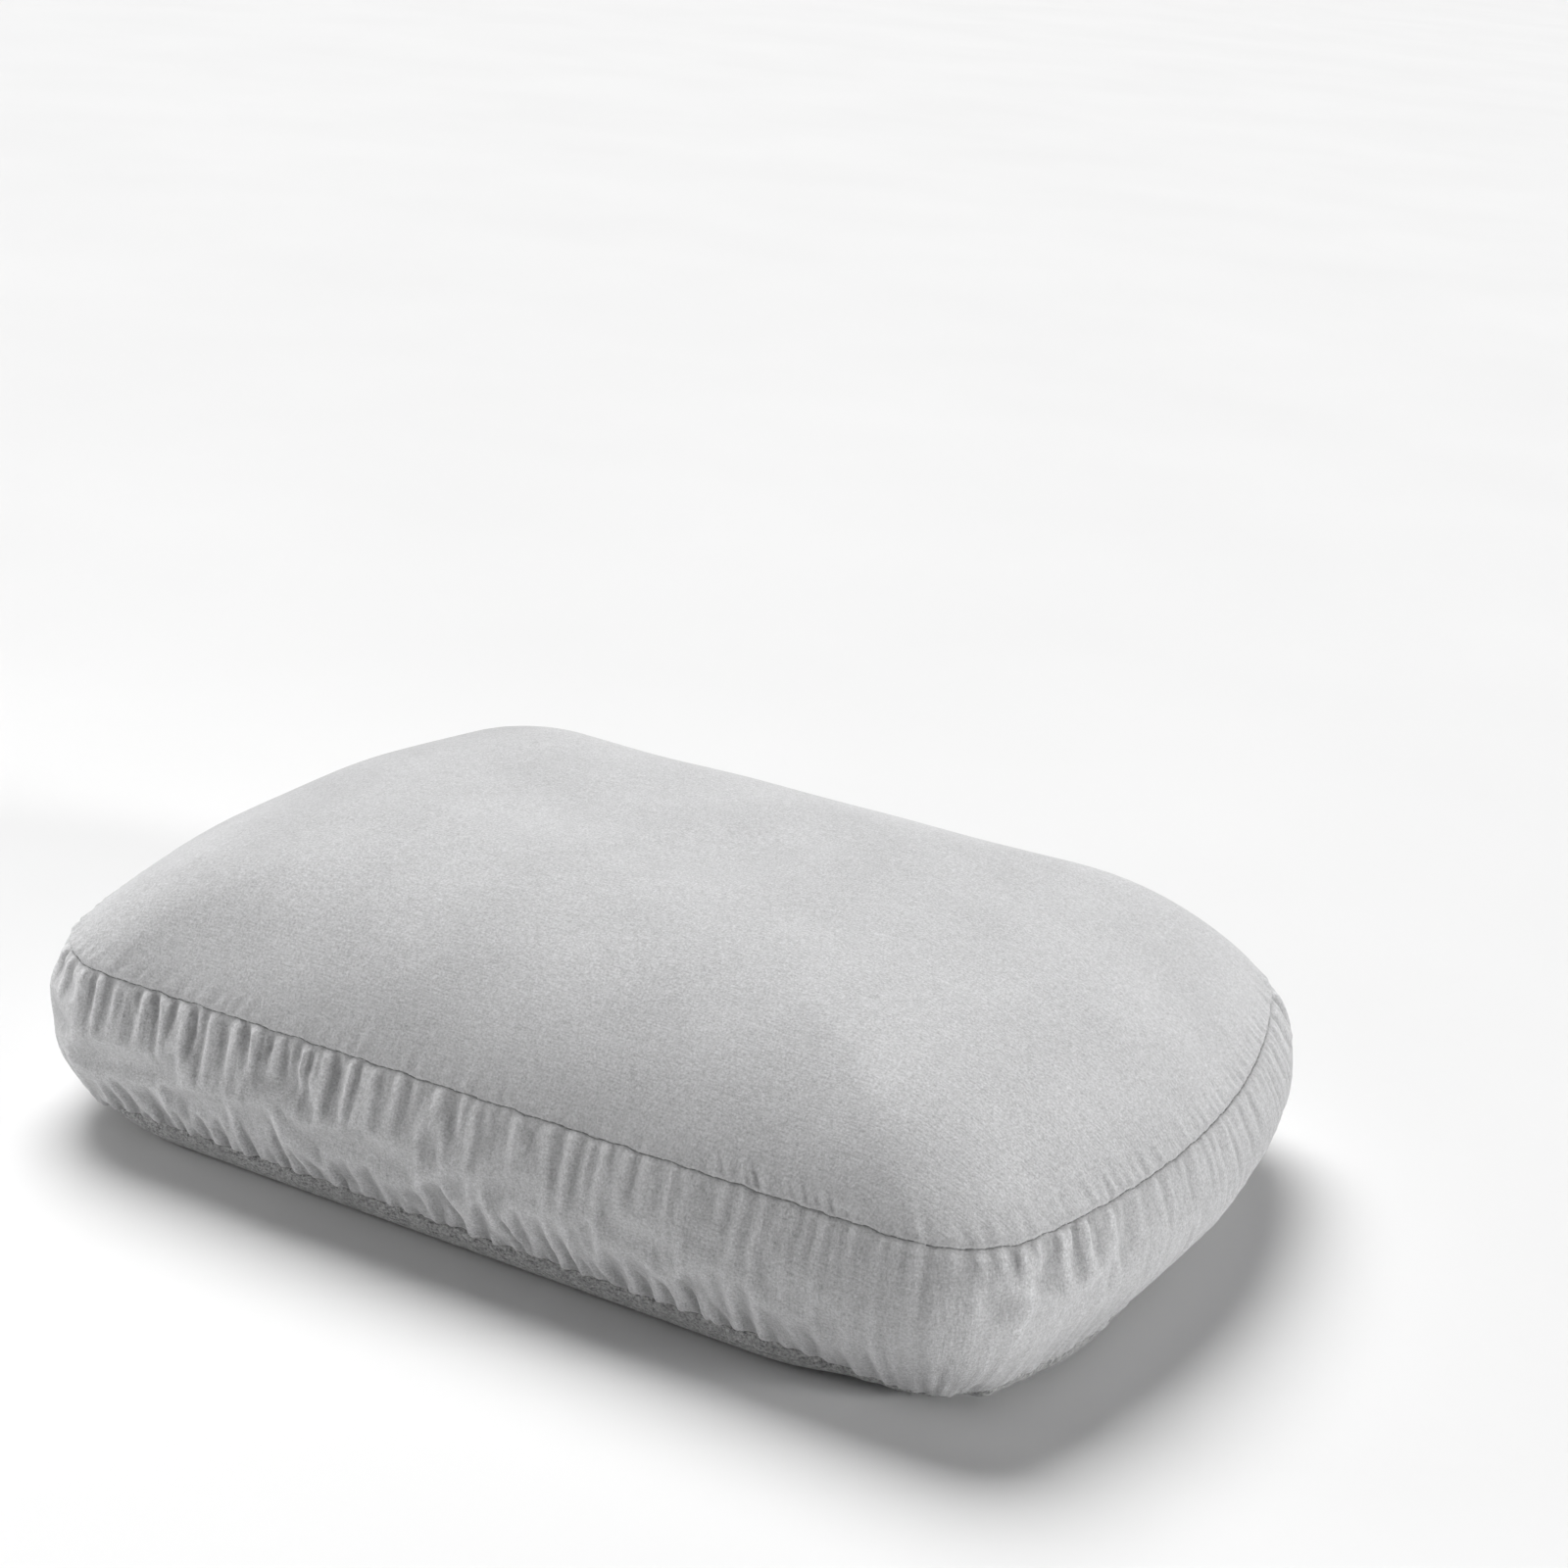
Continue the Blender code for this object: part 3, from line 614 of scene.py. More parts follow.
def wall_points(along, shares, calm=None):
    """Side wall points for columns at these distances round and rings at these shares down."""
    normals = column_at(along)[1]
    points = wall_surface(along, shares)
    shape = points.shape[:2]
    down = np.interp(shares, WALL_SHARES, WALL_ARCS)
    from_top = np.broadcast_to(down[None, :], shape)
    from_bottom = WALL_ARC - from_top
    outward = grid_normals(points, closed=False)
    relief = gathers(along, (from_top, UNDER_TOP_SEAM), (from_bottom, OVER_BOTTOM_SEAM))
    swell = WALL_SWELL * soft_noise(points, 52, WALL_SWELL_WAVE)
    relief = relief + swell * np.clip(np.minimum(from_top, from_bottom) / 0.015, 0, 1)
    lip = np.clip(0.8 + waver(along, 43, 0.30, (83, 117, 151)), 0.1, 1.6)[:, None]
    relief = relief + BOTTOM_LIP * lip * np.exp(-((from_bottom - 0.0030) / 0.0026) ** 2)
    relief = relief + TOP_LIP * np.exp(-((from_top - 0.0032) / 0.0022) ** 2)
    if calm is not None:
        relief = relief * calm
    change = cloth_change(along, down)
    # painted shade in the creases and painted light on their ridges, from the creases and the simulated
    # cloth
    painted_crease_shade = crease_height_for_painted_shade(relief + (change * outward).sum(axis=2))
    points = points + outward * relief[..., None] + change
    pinch = SEAM_PINCH * (np.exp(-from_top / PINCH_REACH) + np.exp(-from_bottom / PINCH_REACH))
    points[..., :2] -= normals[:, None] * pinch[..., None]
    points[..., 2] += (top_seam_rise(along)[:, None] * np.exp(-from_top / SEAM_REACH)
                       + bottom_seam_rise(along)[:, None] * np.exp(-from_bottom / SEAM_REACH))
    points[..., 2] -= BOTTOM_LIP_DROP * lip * np.exp(-((from_bottom - 0.0018) / 0.0018) ** 2)
    flat = np.stack([np.broadcast_to(along[:, None], shape), from_bottom], axis=2)
    edge = np.exp(-np.minimum(from_top, from_bottom) / EDGE_REACH)
    return points, flat, edge, painted_crease_shade


def bottom_panel_points():
    roll = BASE_ROLL * math.pi / 2
    first = graded(roll, 0.0004, 1.25, 0.0016) / roll
    rest = 1.0 + graded(1.0, 0.02, 1.2, 0.06)[1:] * 0.985
    turns = np.concatenate([first, rest])
    points = base_surface(ALONG, turns)
    steps = np.linalg.norm(np.diff(points, axis=1), axis=2)
    reach = np.concatenate([np.zeros((COLUMNS, 1)), np.cumsum(steps, axis=1)], axis=1)
    pinch = SEAM_PINCH * np.exp(-reach / PINCH_REACH)
    outward = grid_normals(points)
    relief = waver(ALONG, 44, 0.00025, (71, 103, 149))[:, None]
    relief = relief * np.exp(-((reach - 0.005) / 0.004) ** 2)
    points = points + outward * relief[..., None]
    points[..., :2] -= NORMALS[:, None] * pinch[..., None]
    points[..., 2] += bottom_seam_rise(ALONG)[:, None] * np.exp(-reach / BASE_SEAM_REACH)
    points[..., 2] = np.maximum(points[..., 2], 0.0)
    return points, unrolled(points, reach, -1), np.exp(-reach / EDGE_REACH), None


# ------------------------------------------------------------------ building meshes
def grid_mesh(name, points, flat, closed=False, pole=None, edge=None, painted_crease_shade=None):
    """A mesh from a [column, ring] grid, with its cloth coordinates in metres as a UV map.

    Where pole is given, the ring of that number is closed by a fan to its middle.
    """
    index, faces = grid_faces(*points.shape[:2], closed)
    places = points.reshape(-1, 3)
    flat = flat.reshape(-1, 2)
    # marks for the cover's colour: nearness to the seams, and the painted shade of the creases
    marks = {"seam": edge, "painted_crease_shade": painted_crease_shade}
    marks = {key: values.reshape(-1) for key, values in marks.items() if values is not None}
    polygons = faces.tolist()
    corners = [flat[faces.reshape(-1)]]
    if pole is not None:
        ring = index[:, pole]
        tip = len(places)
        places = np.concatenate([places, [places[ring].mean(axis=0)]])
        flat = np.concatenate([flat, [flat[ring].mean(axis=0)]])
        order = (ring, np.roll(ring, -1)) if pole == 0 else (np.roll(ring, -1), ring)
        fans = np.stack([np.full(len(ring), tip), *order], axis=-1)
        polygons += fans.tolist()
        corners.append(flat[fans.reshape(-1)])
        marks = {key: np.append(values, 0.0) for key, values in marks.items()}
    mesh = new_mesh(name, places, polygons)
    mesh.uv_layers.new(name="cloth").data.foreach_set(
        "uv", np.concatenate(corners).astype(np.float32).reshape(-1))
    for key, values in marks.items():
        mesh.attributes.new(key, "FLOAT", "POINT").data.foreach_set("value", values.astype(np.float32))
    return mesh


def give_thickness(thing, thickness):
    solidify = thing.modifiers.new("cloth thickness", "SOLIDIFY")
    solidify.thickness = thickness
    solidify.offset = -1.0


def finish_piece(thing, body, nodes, material):
    thing.data.materials.clear()
    thing.data.materials.append(material)
    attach(thing, body)
    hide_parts(*nodes)


def cloth_piece(name, sheet, node, slot, material, **settings):
    """A piece of the cover from its sheet: points, cloth coordinates, seam marks and the painted shade of
    its creases.
    """
    points, flat, edge, painted_crease_shade = sheet
    piece = new_object(name, grid_mesh(name, points, flat, edge=edge, painted_crease_shade=painted_crease_shade, **settings))
    give_thickness(piece, CLOTH)
    finish_piece(piece, "cover", [node], material)


# Places along a stitch, as a share of its length, and its thickness there
STITCH_PROFILE = ((-0.50, 0.35), (-0.44, 0.80), (-0.22, 1.0), (0.0, 1.0), (0.22, 1.0), (0.44, 0.80),
                  (0.50, 0.35))
STITCH_PITCH = 0.0032
STITCH_LENGTH = 0.0027
STITCH_THICKNESS = 0.00042
STITCH_DIP = 0.45            # how far a stitch's ends dip, as a share of its thickness
STITCH_SIDES = 6


def stitch_mesh(name, centres, ways, ups):
    """Short rounded stitches, each arched a little along its way."""
    ways = unit(ways)
    across = unit(np.cross(ways, ups))
    ups = np.cross(across, ways)
    circle = round_offsets(across, ups, STITCH_SIDES)
    rings = []
    for place, radius in STITCH_PROFILE:
        dip = -STITCH_DIP * STITCH_THICKNESS * (2 * place) ** 2
        middle_line = centres + ways * place * STITCH_LENGTH + ups * dip
        rings.append(middle_line[:, None] + radius * STITCH_THICKNESS / 2 * circle)
    return tube_mesh(name, np.stack(rings, axis=1))


# ------------------------------------------------------------------ materials
class Shader:
    """A Principled material and short calls that add nodes to it."""

    def __init__(self, name, roughness, **settings):
        self.material = bpy.data.materials.new(name)
        self.material.use_nodes = True
        self.tree = self.material.node_tree
        self.bsdf = self.tree.nodes["Principled BSDF"]
        self.bsdf.inputs["Roughness"].default_value = roughness
        for socket, value in settings.items():
            self.bsdf.inputs[socket.replace("_", " ")].default_value = value

    def node(self, kind, links=(), **settings):
        made = self.tree.nodes.new(kind)
        for key, value in settings.items():
            setattr(made, key, value)
        for socket, source in dict(links).items():
            if isinstance(source, bpy.types.NodeSocket):
                self.tree.links.new(source, made.inputs[socket])
            else:
                made.inputs[socket].default_value = source
        return made

    def coordinates(self, kind="Object"):
        return self.node("ShaderNodeTexCoord").outputs[kind]

    def stretched(self, source, scale, turn=0.0):
        return self.node("ShaderNodeMapping", {"Vector": source, "Scale": scale,
                                               "Rotation": (0.0, 0.0, turn)}).outputs[0]

    def noise(self, source, scale, detail=2.0, roughness=0.5):
        return self.node("ShaderNodeTexNoise", {"Vector": source, "Scale": scale, "Detail": detail,
                                                "Roughness": roughness}).outputs[0]

    def maths(self, operation, first, second=0.0):
        return self.node("ShaderNodeMath", {0: first, 1: second}, operation=operation).outputs[0]

    def between(self, source, low, high, to_low=0.0, to_high=1.0):
        return self.node("ShaderNodeMapRange", {"Value": source, "From Min": low, "From Max": high,
                                                "To Min": to_low, "To Max": to_high}).outputs[0]

    def mix(self, share, first, second, blend="MIX"):
        return self.node("ShaderNodeMix", {0: share, 6: first, 7: second}, data_type="RGBA",
                         blend_type=blend).outputs[2]

    def colour(self, source):
        self.tree.links.new(source, self.bsdf.inputs["Base Color"])

    def rough(self, source):
        self.tree.links.new(source, self.bsdf.inputs["Roughness"])

    def bump(self, height, strength, distance):
        made = self.node("ShaderNodeBump", {"Height": height, "Strength": strength, "Distance": distance})
        self.tree.links.new(made.outputs[0], self.bsdf.inputs["Normal"])


def grey(value, warmth=0.0):
    """A grey that leans to cream with warmth above 0, and to blue below."""
    return (value * (1 + max(warmth, 0.0)), value * (1 + max(warmth, 0.0) / 2), value * (1 - warmth), 1.0)


def woven_cover():
    """Light grey brushed weave: crossing yarns, a salt-and-pepper speckle and mottle, with painted shade in
    the creases and painted light on their ridges.
    """
    shader = Shader("cover_cloth", 0.9, Sheen_Weight=0.22, Sheen_Roughness=0.45, Specular_IOR_Level=0.15)
    flat = shader.coordinates("UV")
    warp = shader.noise(shader.stretched(flat, (1300.0, 170.0, 1.0)), 1.0, 2.0)
    weft = shader.noise(shader.stretched(flat, (150.0, 1150.0, 1.0)), 1.0, 2.0)
    yarns = shader.maths("ADD", warp, weft)
    solid = shader.coordinates()
    speckle = shader.noise(solid, 1150.0, 2.0, 0.7)
    mottle = shader.noise(solid, 330.0, 3.0, 0.6)
    drift = shader.noise(solid, 26.0, 2.0)
    tone = shader.maths("MULTIPLY", yarns, 0.16)
    for part, share in ((mottle, 0.26), (speckle, 1.0), (drift, 0.22)):
        tone = shader.maths("ADD", tone, shader.maths("MULTIPLY", part, share))
    tone = shader.between(tone, 0.48, 1.16)
    cloth = shader.mix(tone, grey(0.31, -0.012), grey(0.69, -0.012))
    # painted shade and light: the colour is darkened in the creases and lightened on their ridges
    painted_crease_shade = shader.node("ShaderNodeAttribute", attribute_name="painted_crease_shade").outputs["Fac"]
    painted_shade_and_light = shader.between(painted_crease_shade, -1.0, 1.0, 0.74, 1.12)
    painted_shade_and_light = shader.node("ShaderNodeCombineColor", {0: painted_shade_and_light, 1: painted_shade_and_light, 2: painted_shade_and_light}).outputs[0]
    cloth = shader.mix(1.0, cloth, painted_shade_and_light, "MULTIPLY")
    worn = shader.node("ShaderNodeAttribute", attribute_name="seam").outputs["Fac"]
    cloth = shader.mix(shader.maths("MULTIPLY", worn, 0.18), cloth, grey(0.42))
    shader.colour(cloth)
    shader.rough(shader.between(mottle, 0.3, 0.7, 0.84, 0.96))
    height = shader.maths("ADD", yarns, shader.maths("ADD", speckle, shader.maths("MULTIPLY", mottle, 0.6)))
    shader.bump(height, 0.6, 0.00035)
    return shader.material


def felted_base():
    """Dark heather knit: pale and dark fibres mixed, with a felted, speckled face."""
    shader = Shader("base_cloth", 0.95, Sheen_Weight=0.35, Sheen_Roughness=0.5, Specular_IOR_Level=0.15)
    solid = shader.coordinates()
    speckle = shader.noise(solid, 950.0, 2.0, 0.7)
    flat = shader.stretched(shader.coordinates("UV"), (260.0, 900.0, 1.0), 0.5)
    fibres = shader.noise(flat, 1.0, 3.0, 0.65)
    drift = shader.noise(solid, 60.0, 2.0)
    tone = shader.maths("ADD", shader.between(speckle, 0.38, 0.66), shader.between(fibres, 0.35, 0.7))
    tone = shader.maths("MULTIPLY", tone, 0.5)
    cloth = shader.mix(tone, grey(0.11), grey(0.68))
    cloth = shader.mix(shader.between(drift, 0.4, 0.65, 0.0, 0.3), cloth, grey(0.30))
    shader.colour(cloth)
    shader.rough(shader.between(fibres, 0.3, 0.7, 0.88, 1.0))
    shader.bump(shader.maths("ADD", speckle, fibres), 0.8, 0.0006)
    return shader.material


def plain_cloth(name, low, high, scale, roughness, sheen=0.2, warmth=0.0, ribs=None):
    """A small woven or knitted piece: two tones in a fine stretched noise, ribbed if asked."""
    shader = Shader(name, roughness, Sheen_Weight=sheen, Sheen_Roughness=0.4, Specular_IOR_Level=0.2)
    solid = shader.coordinates()
    across = shader.noise(shader.stretched(solid, (0.25, 1.0, 1.0)), scale, 2.0)
    along = shader.noise(shader.stretched(solid, (1.0, 1.0, 0.25)), scale, 2.0)
    tone = shader.between(shader.maths("ADD", across, along), 0.75, 1.25)
    height = shader.maths("ADD", across, along)
    if ribs is not None:
        wave = shader.node("ShaderNodeTexWave", {"Vector": solid, "Scale": ribs[1], "Distortion": 0.4,
                                                 "Detail": 1.0}, bands_direction=ribs[0]).outputs["Fac"]
        height = shader.maths("ADD", height, wave)
        tone = shader.maths("MULTIPLY", shader.maths("ADD", tone, wave), 0.5)
    shader.colour(shader.mix(tone, grey(low, warmth), grey(high, warmth)))
    shader.rough(shader.between(tone, 0.0, 1.0, roughness - 0.06, min(1.0, roughness + 0.05)))
    shader.bump(height, 0.5, 0.0002)
    return shader.material


def foam_block():
    """Open-cell foam: a cream ground with fine pits."""
    shader = Shader("foam_cells", 0.97, Specular_IOR_Level=0.1)
    solid = shader.coordinates()
    cells = shader.node("ShaderNodeTexVoronoi", {"Vector": solid, "Scale": 700.0}).outputs["Distance"]
    drift = shader.noise(solid, 30.0, 2.0)
    pits = shader.between(cells, 0.15, 0.55)
    shader.colour(shader.mix(pits, (0.62, 0.58, 0.46, 1.0), shader.mix(drift, (0.86, 0.83, 0.72, 1.0),
                                                                     (0.90, 0.87, 0.79, 1.0))))
    shader.rough(shader.between(pits, 0.0, 1.0, 1.0, 0.92))
    shader.bump(pits, 0.6, 0.0004)
    return shader.material


def plated_zinc():
    """Grey plated die casting: a soft satin face with fine scuffs and polished, worn edges."""
    shader = Shader("plated_zinc", 0.34, Metallic=1.0)
    solid = shader.coordinates()
    scuffs = shader.noise(shader.stretched(solid, (1.0, 1.0, 6.0), 0.4), 700.0, 3.0, 0.65)
    grain = shader.noise(solid, 2600.0, 2.0)
    worn = shader.between(shader.node("ShaderNodeNewGeometry").outputs["Pointiness"], 0.52, 0.60)
    tone = shader.mix(shader.between(scuffs, 0.35, 0.7), grey(0.36, -0.02), grey(0.46, -0.02))
    shader.colour(shader.mix(worn, tone, grey(0.62, -0.01)))
    shader.rough(shader.between(shader.maths("ADD", scuffs, worn), 0.4, 1.4, 0.42, 0.24))
    shader.bump(shader.maths("ADD", grain, scuffs), 0.12, 0.0001)
    return shader.material


def nylon_coil():
    """Translucent grey monofilament, a little lighter where it is rubbed."""
    shader = Shader("nylon_coil", 0.42, Specular_IOR_Level=0.45)
    solid = shader.coordinates()
    streak = shader.noise(shader.stretched(solid, (1.0, 4.0, 1.0)), 900.0, 2.0)
    worn = shader.between(shader.node("ShaderNodeNewGeometry").outputs["Pointiness"], 0.5, 0.62)
    shader.colour(shader.mix(worn, shader.mix(streak, grey(0.30), grey(0.40)), grey(0.50)))
    shader.rough(shader.between(streak, 0.3, 0.7, 0.36, 0.50))
    shader.bump(streak, 0.15, 0.0001)
    return shader.material


COVER = woven_cover()
BASE = felted_base()
THREAD = plain_cloth("sewing_thread", 0.20, 0.32, 2200.0, 0.75, sheen=0.1)
PALE_THREAD = plain_cloth("pale_thread", 0.42, 0.56, 2200.0, 0.75, sheen=0.1)
SATIN = plain_cloth("satin_ribbon", 0.74, 0.86, 900.0, 0.48, sheen=0.35, warmth=0.01, ribs=("Z", 900.0))
LINER = plain_cloth("liner_knit", 0.70, 0.84, 800.0, 0.9, sheen=0.25, warmth=0.012)
TAPE = plain_cloth("zip_tape_weave", 0.34, 0.46, 1300.0, 0.85, sheen=0.15, ribs=("Z", 620.0))
FOAM = foam_block()
ZINC = plated_zinc()
NYLON = nylon_coil()

# ------------------------------------------------------------------ cover
cloth_piece("cover_top", top_panel_points(), "cover_top_panel", "cover_fabric", COVER, closed=True, pole=0)

BACK_END = STRIP_END + 0.0004       # the wall's ends stand this far off the zip strips
WALL_COLUMNS = 1150
STRIP_COLUMNS = 360
wall_along = np.linspace(at_back(-BACK_END) - PERIMETER, at_back(BACK_END), WALL_COLUMNS)
wall_shares = np.interp(graded_both(WALL_ARC, 0.00035, 1.16, 0.0016), WALL_ARCS, WALL_SHARES)
cloth_piece("cover_wall", wall_points(wall_along, wall_shares), "cover_side_wall", "cover_fabric", COVER)
cloth_piece("cover_base", bottom_panel_points(), "cover_bottom_panel", "base_fabric", BASE,
            closed=True, pole=-1)

SLOT_FOLD = 0.0006           # the strips turn in by this at the zip's slot,
SLOT_FOLD_REACH = 0.0005     # over about this much cloth,
SLOT_CALM = 0.008            # and have no creases at the slot
strip_along = np.linspace(at_back(STRIP_END), at_back(-STRIP_END), STRIP_COLUMNS)
for side, slot_edge in (("upper", SLOT_TOP), ("lower", SLOT_BOTTOM)):
    edge_arc = float(np.interp((TOP_SEAM - slot_edge) / WALL_HEIGHT, WALL_SHARES, WALL_ARCS))
    start, length = (0.0, edge_arc) if side == "upper" else (edge_arc, WALL_ARC - edge_arc)
    arcs = start + graded_both(length, 0.00035, 1.2, 0.0016)
    from_slot = np.abs(arcs - edge_arc)
    calm = np.clip(from_slot / SLOT_CALM, 0.0, 1.0)[None, :]
    sheet = wall_points(strip_along, np.interp(arcs, WALL_ARCS, WALL_SHARES), calm)
    sheet[0][..., 1] -= (SLOT_FOLD * np.exp(-from_slot / SLOT_FOLD_REACH))[None, :]
    cloth_piece("zip_strip_" + side + "_cloth", sheet, "zip_strip_" + side, "cover_fabric", COVER)

# ------------------------------------------------------------------ seam stitches
STITCH_DEPTH = 0.0008        # below the seam's outline, in its groove


def seam_stitches(name, node, share, rise, material):
    """Stitches round the cover, in the groove at this share of the way down the wall."""
    count = int(PERIMETER / STITCH_PITCH)
    along = (np.arange(count) + 0.5) * PERIMETER / count
    normals = column_at(along)[1]
    centres = wall_surface(along, np.array([share]))[:, 0]
    centres[:, :2] -= normals * STITCH_DEPTH
    centres[:, 2] += rise(along)
    ways = np.roll(centres, -1, axis=0) - np.roll(centres, 1, axis=0)
    ups = np.concatenate([normals, np.zeros((count, 1))], axis=1)
    piece = new_object(name, stitch_mesh(name, centres, ways, ups))
    finish_piece(piece, "cover", [node], material)


seam_stitches("top_seam_stitches", "top_seam_thread", 0.0, top_seam_rise, THREAD)
seam_stitches("bottom_seam_stitches", "bottom_seam_thread", 1.0, bottom_seam_rise, THREAD)

# ------------------------------------------------------------------ filling
FOAM_DEPTH = 0.0068          # behind the cover's outer face
LINER_DEPTH = 0.0050
LINER_CLOTH = 0.0006
LINER_GAP = 0.0004           # half the gap between the liner's two halves at its seam
ROUGH_COLUMNS = 250          # columns of the hidden layers


def closed_skin(depth, along):
    """The filled pillow's smooth outline, drawn in by depth: [column, ring, xyz] from top to base."""
    places, normals = column_at(along)
    arcs = graded(DOME_ARC * DOME_SHARE, 0.002, 1.2, 0.008)[::-1]
    turns = np.concatenate([np.linspace(0.0, 1.0, 7)[1:], np.linspace(1.0, 1.985, 16)[1:]])
    whole = np.concatenate([top_surface(places, arcs), wall_surface(along, np.linspace(0.0, 1.0, 24)[1:]),
                            base_surface(along, turns)], axis=1)
    inside = whole - grid_normals(whole) * depth
    inside[..., 2] = np.clip(inside[..., 2], depth, HEIGHT - depth)
    return inside


rough_along = np.arange(ROUGH_COLUMNS) * PERIMETER / ROUGH_COLUMNS
foam_skin = closed_skin(FOAM_DEPTH, rough_along)
dimples = 0.0003 * soft_noise(foam_skin, 61, 0.020)
foam_skin += grid_normals(foam_skin) * dimples[..., None]


def two_pole_mesh(name, skin):
    """A closed mesh from a [column, ring] grid that starts and ends at a middle point."""
    mesh = grid_mesh(name, skin, skin[..., :2], closed=True, pole=0)
    shape = bmesh.new()
    shape.from_mesh(mesh)
    rim = [edge for edge in shape.edges if edge.is_boundary]
    bmesh.ops.holes_fill(shape, edges=rim, sides=0)
    shape.to_mesh(mesh)
    shape.free()
    mesh.shade_smooth()
    return mesh


foam = new_object("foam_filling", two_pole_mesh("foam_filling", foam_skin))
finish_piece(foam, "cover", ["foam_core"], FOAM)

liner_skin = closed_skin(LINER_DEPTH, rough_along)
split = int(np.argmin(np.abs(liner_skin[0, :, 2] - ZIP_HEIGHT)))
upper = liner_skin[:, :split + 1].copy()
lower = liner_skin[:, split:].copy()
upper[:, -1, 2] += LINER_GAP
lower[:, 0, 2] -= LINER_GAP
for name, node, skin, pole in (("liner_upper", "liner_top", upper, 0),
                               ("liner_lower", "liner_bottom", lower, -1)):
    piece = new_object(name, grid_mesh(name, skin, skin[..., :2], closed=True, pole=pole))
    give_thickness(piece, LINER_CLOTH)
    finish_piece(piece, "cover", [node], LINER)

# ------------------------------------------------------------------ zip
COIL_PITCH = 0.00125
COIL_WIRE = 0.00036          # radius of the wire
COIL_POINTS = 14             # in a turn
COIL_SIDES = 6
COIL_SQUARENESS = 0.6        # below 1, the turns are flattened ovals
COIL_MESH = 0.00026          # the turns of each coil reach this far in between the other's


def wire_mesh(name, path, radius):
    """A round wire along an open path of points."""
    ways = unit(np.gradient(path, axis=0))
    across = unit(np.cross(ways, np.array([1.0, 0.0, 0.0])))
    rings = path[:, None] + radius * round_offsets(across, np.cross(ways, across), COIL_SIDES)
    return tube_mesh(name, rings[None])


for side, way in (("upper", 1.0), ("lower", -1.0)):
    low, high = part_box("zip_coil_" + side)
    turns = int((high[0] - low[0] - 0.001) / COIL_PITCH)
    phase = np.linspace(0.0, turns * 2 * math.pi, turns * COIL_POINTS)
    middle_y = (low[1] + high[1]) / 2
    reach_y = (high[1] - low[1]) / 2 - COIL_WIRE
    inner, outer = (low[2], high[2]) if way > 0 else (high[2], low[2])
    inner -= way * COIL_MESH
    centre_z, reach_z = (inner + outer) / 2, abs(outer - inner) / 2 - COIL_WIRE
    squared = np.sign(np.cos(phase)) * np.abs(np.cos(phase)) ** COIL_SQUARENESS
    offset = COIL_PITCH / 4 if way > 0 else 0.0
    path = np.stack([low[0] + 0.0005 + offset + phase / (2 * math.pi) * COIL_PITCH,
                     middle_y + reach_y * np.sin(phase), centre_z + way * reach_z * squared], axis=1)
    coil = new_object("zip_coil_" + side + "_wire", wire_mesh("coil_" + side, path, COIL_WIRE))
    finish_piece(coil, "cover", ["zip_coil_" + side], NYLON)

TOPSTITCH_INSET = 0.0030     # from the slot
TOPSTITCH_RISE = 0.00012     # above the strips
topstitch_along = np.linspace(at_back(STRIP_END - 0.004), at_back(-STRIP_END + 0.004),
                              int(2 * STRIP_END / STITCH_PITCH))
for side, height in (("upper", SLOT_TOP + TOPSTITCH_INSET), ("lower", SLOT_BOTTOM - TOPSTITCH_INSET)):
    share = (TOP_SEAM - height) / WALL_HEIGHT
    lines = wall_surface(topstitch_along, np.array([share - 0.01, share, share + 0.01]))
    slope = lines[:, 2] - lines[:, 0]
    centres = lines[:, 1]
    ways = np.gradient(centres, axis=0)
    ups = unit(np.cross(slope, ways))
    piece = new_object("zip_topstitch_" + side,
                       stitch_mesh("topstitch_" + side, centres + ups * TOPSTITCH_RISE, ways, ups))
    piece.data.materials.append(PALE_THREAD)
    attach(piece, "cover")

# Carried-over CAD pieces keep their shapes and get finer materials; the slider's edges are softened
SLIDER_BEVEL = 0.00022
for node, material in (("zip_tape_upper", TAPE), ("zip_tape_lower", TAPE), ("zip_bottom_stop", ZINC),
                       ("zip_top_stop_upper", ZINC), ("zip_top_stop_lower", ZINC), ("zip_slider", ZINC),
                       ("zip_pull", ZINC)):
    for material_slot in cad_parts[node].material_slots:
        material_slot.material = material
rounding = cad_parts["zip_slider"].modifiers.new("soft edges", "BEVEL")
rounding.width = SLIDER_BEVEL
rounding.segments = 3
rounding.limit_method = "ANGLE"
rounding.harden_normals = True

# ------------------------------------------------------------------ label
LABEL_LOW, LABEL_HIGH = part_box("care_label")
LABEL_PLY = 0.0003
LABEL_COLUMNS, LABEL_RINGS = 40, 60
LABEL_GAP = 0.0016           # from the wall to the label's middle
LABEL_CURL = 0.0016          # its lower end stands out by this
LABEL_FOLD = 0.0009          # half the space between its two layers
label_x = np.linspace(LABEL_LOW[0], LABEL_HIGH[0], LABEL_COLUMNS)
label_length = LABEL_HIGH[2] - LABEL_LOW[2]
label_run = np.linspace(0.0, 1.0, LABEL_RINGS)
both_ways = 2 * label_run - 1.0                   # from the seam down the back layer and up the front
down = 1.0 - np.abs(both_ways)
height = LABEL_HIGH[2] - label_length * down
apart = LABEL_FOLD * np.sign(both_ways) * np.minimum(1.0, np.abs(both_ways) * 9.0)
apart = apart * np.minimum(1.0, (1 - np.abs(both_ways)) * 3 + 0.35)
wall_at = wall_surface(at_back(label_x),
                       (TOP_SEAM - np.linspace(LABEL_HIGH[2], LABEL_LOW[2], 40)) / WALL_HEIGHT)
label_points = np.zeros((LABEL_COLUMNS, LABEL_RINGS, 3))
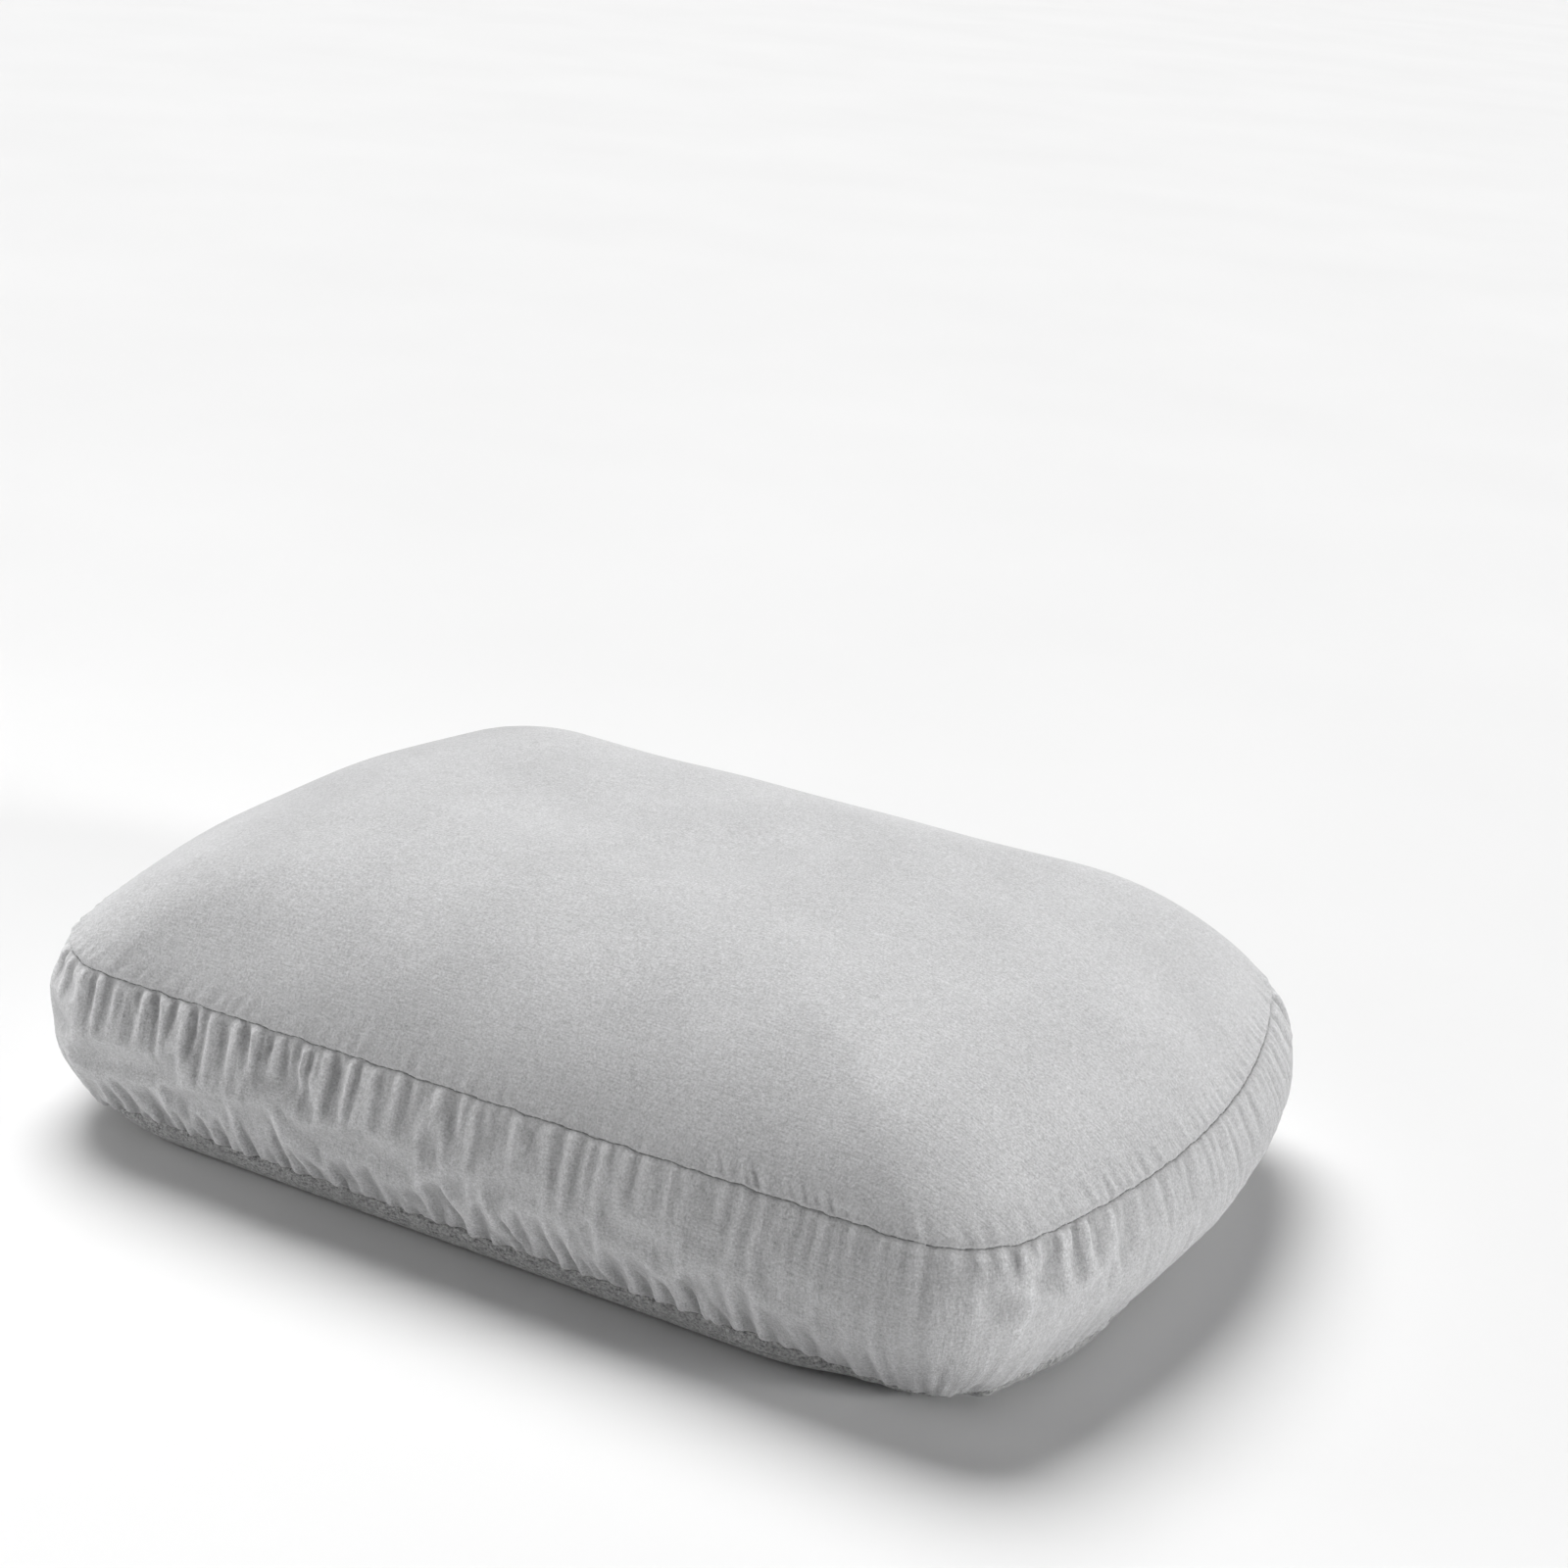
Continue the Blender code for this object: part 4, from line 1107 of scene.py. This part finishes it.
for column in range(LABEL_COLUMNS):
    wall_y = np.interp(-height, -wall_at[column, :, 2], wall_at[column, :, 1])
    curl = LABEL_CURL * down ** 2 * (0.4 + 0.6 * math.sin(math.pi * column / (LABEL_COLUMNS - 1)))
    label_points[column] = np.stack([np.full(LABEL_RINGS, label_x[column]),
                                     wall_y + LABEL_GAP + curl + apart, height], axis=1)
label_flat = np.stack(np.broadcast_arrays(label_x[:, None], label_run[None, :] * 2 * label_length), axis=2)
label = new_object("blank_label", grid_mesh("blank_label", label_points, label_flat))
give_thickness(label, LABEL_PLY)
finish_piece(label, "cover", ["care_label"], SATIN)

# ------------------------------------------------------------------ camera, light and floor
AZIMUTH, ELEVATION, ROLL = math.radians(26.8), math.radians(20.1), 0.081
LENS, SENSOR = 62.24, 36.0
back = np.array([math.sin(AZIMUTH) * math.cos(ELEVATION), -math.cos(AZIMUTH) * math.cos(ELEVATION),
                 math.sin(ELEVATION)])
level = np.array([math.cos(AZIMUTH), math.sin(AZIMUTH), 0.0])
upright = np.cross(back, level)
right = level * math.cos(ROLL) + upright * math.sin(ROLL)
up = upright * math.cos(ROLL) - level * math.sin(ROLL)
EYE = HALF_LENGTH * (4.87 * back + 0.200 * right + 0.566 * up) + np.array([0.0, 0.0, 0.010])

camera_data = bpy.data.cameras.new("camera")
camera_data.lens = LENS
camera_data.sensor_width = SENSOR
camera = new_object("camera", camera_data)
camera.matrix_world = Matrix([[right[i], up[i], back[i], EYE[i]] for i in range(3)]
                             + [[0.0, 0.0, 0.0, 1.0]])
bpy.context.scene.camera = camera

FLOOR_DROP = 0.0002          # the floor lies this far below the pillow, so that the two don't share a plane
FLOOR_RINGS = ((12.0, 0.0), (16.0, 0.25), (22.0, 1.2), (40.0, 7.0))   # radius and height
FLOOR_SIDES = 96
floor_turns = np.arange(FLOOR_SIDES) * 2 * math.pi / FLOOR_SIDES
floor_points = [(0.0, 0.0, -FLOOR_DROP)] + [
    (radius * math.cos(turn), radius * math.sin(turn), height - FLOOR_DROP)
    for radius, height in FLOOR_RINGS for turn in floor_turns]
ring_starts = 1 + np.arange(FLOOR_SIDES)
next_starts = np.roll(ring_starts, -1)
floor_faces = np.stack([np.zeros(FLOOR_SIDES, int), ring_starts, next_starts], axis=1).tolist()
for ring in range(len(FLOOR_RINGS) - 1):
    here, beside = ring_starts + ring * FLOOR_SIDES, next_starts + ring * FLOOR_SIDES
    floor_faces += np.stack([here, here + FLOOR_SIDES, beside + FLOOR_SIDES, beside], axis=1).tolist()
floor_mesh = new_mesh("floor", floor_points, floor_faces)
floor = new_object("floor", floor_mesh)
floor_shader = Shader("pale_floor", 0.9, Specular_IOR_Level=0.0)
floor_tone = floor_shader.between(floor_shader.noise(floor_shader.coordinates(), 3.0), 0.3, 0.7)
floor_shader.colour(floor_shader.mix(floor_tone, grey(0.76), grey(0.78)))
floor_mesh.materials.append(floor_shader.material)


def lamp(name, kind, place, target, power):
    """A light at place that faces target."""
    data = bpy.data.lights.new(name, kind)
    data.energy = power
    thing = new_object(name, data)
    thing.rotation_mode = "QUATERNION"
    thing.rotation_quaternion = (Vector(place) - Vector(target)).normalized().to_track_quat("Z", "Y")
    return thing


def sun(name, towards, strength, degrees):
    """A soft light from far away in a direction, as wide as these degrees."""
    lamp(name, "SUN", towards, (0.0, 0.0, 0.0), strength).data.angle = math.radians(degrees)


def panel(name, place, target, power, size):
    """A square soft light."""
    thing = lamp(name, "AREA", place, target, power)
    thing.location = place
    thing.data.size = size


sun("key", (-0.40, 0.34, 0.85), 3.6, 40.0)
sun("side", (0.92, 0.14, 0.16), 4.0, 18.0)
panel("fill", (-0.62, -0.42, 0.26), (-0.05, -0.10, 0.00), 1.15, 0.25)
world = bpy.data.worlds.new("studio")
world.use_nodes = True
world.node_tree.nodes["Background"].inputs["Color"].default_value = (1.0, 1.0, 1.0, 1.0)
world.node_tree.nodes["Background"].inputs["Strength"].default_value = 0.05
bpy.context.scene.world = world
bpy.context.scene.view_settings.view_transform = "Standard"

# ------------------------------------------------------------------ update the scene
bpy.context.view_layer.update()
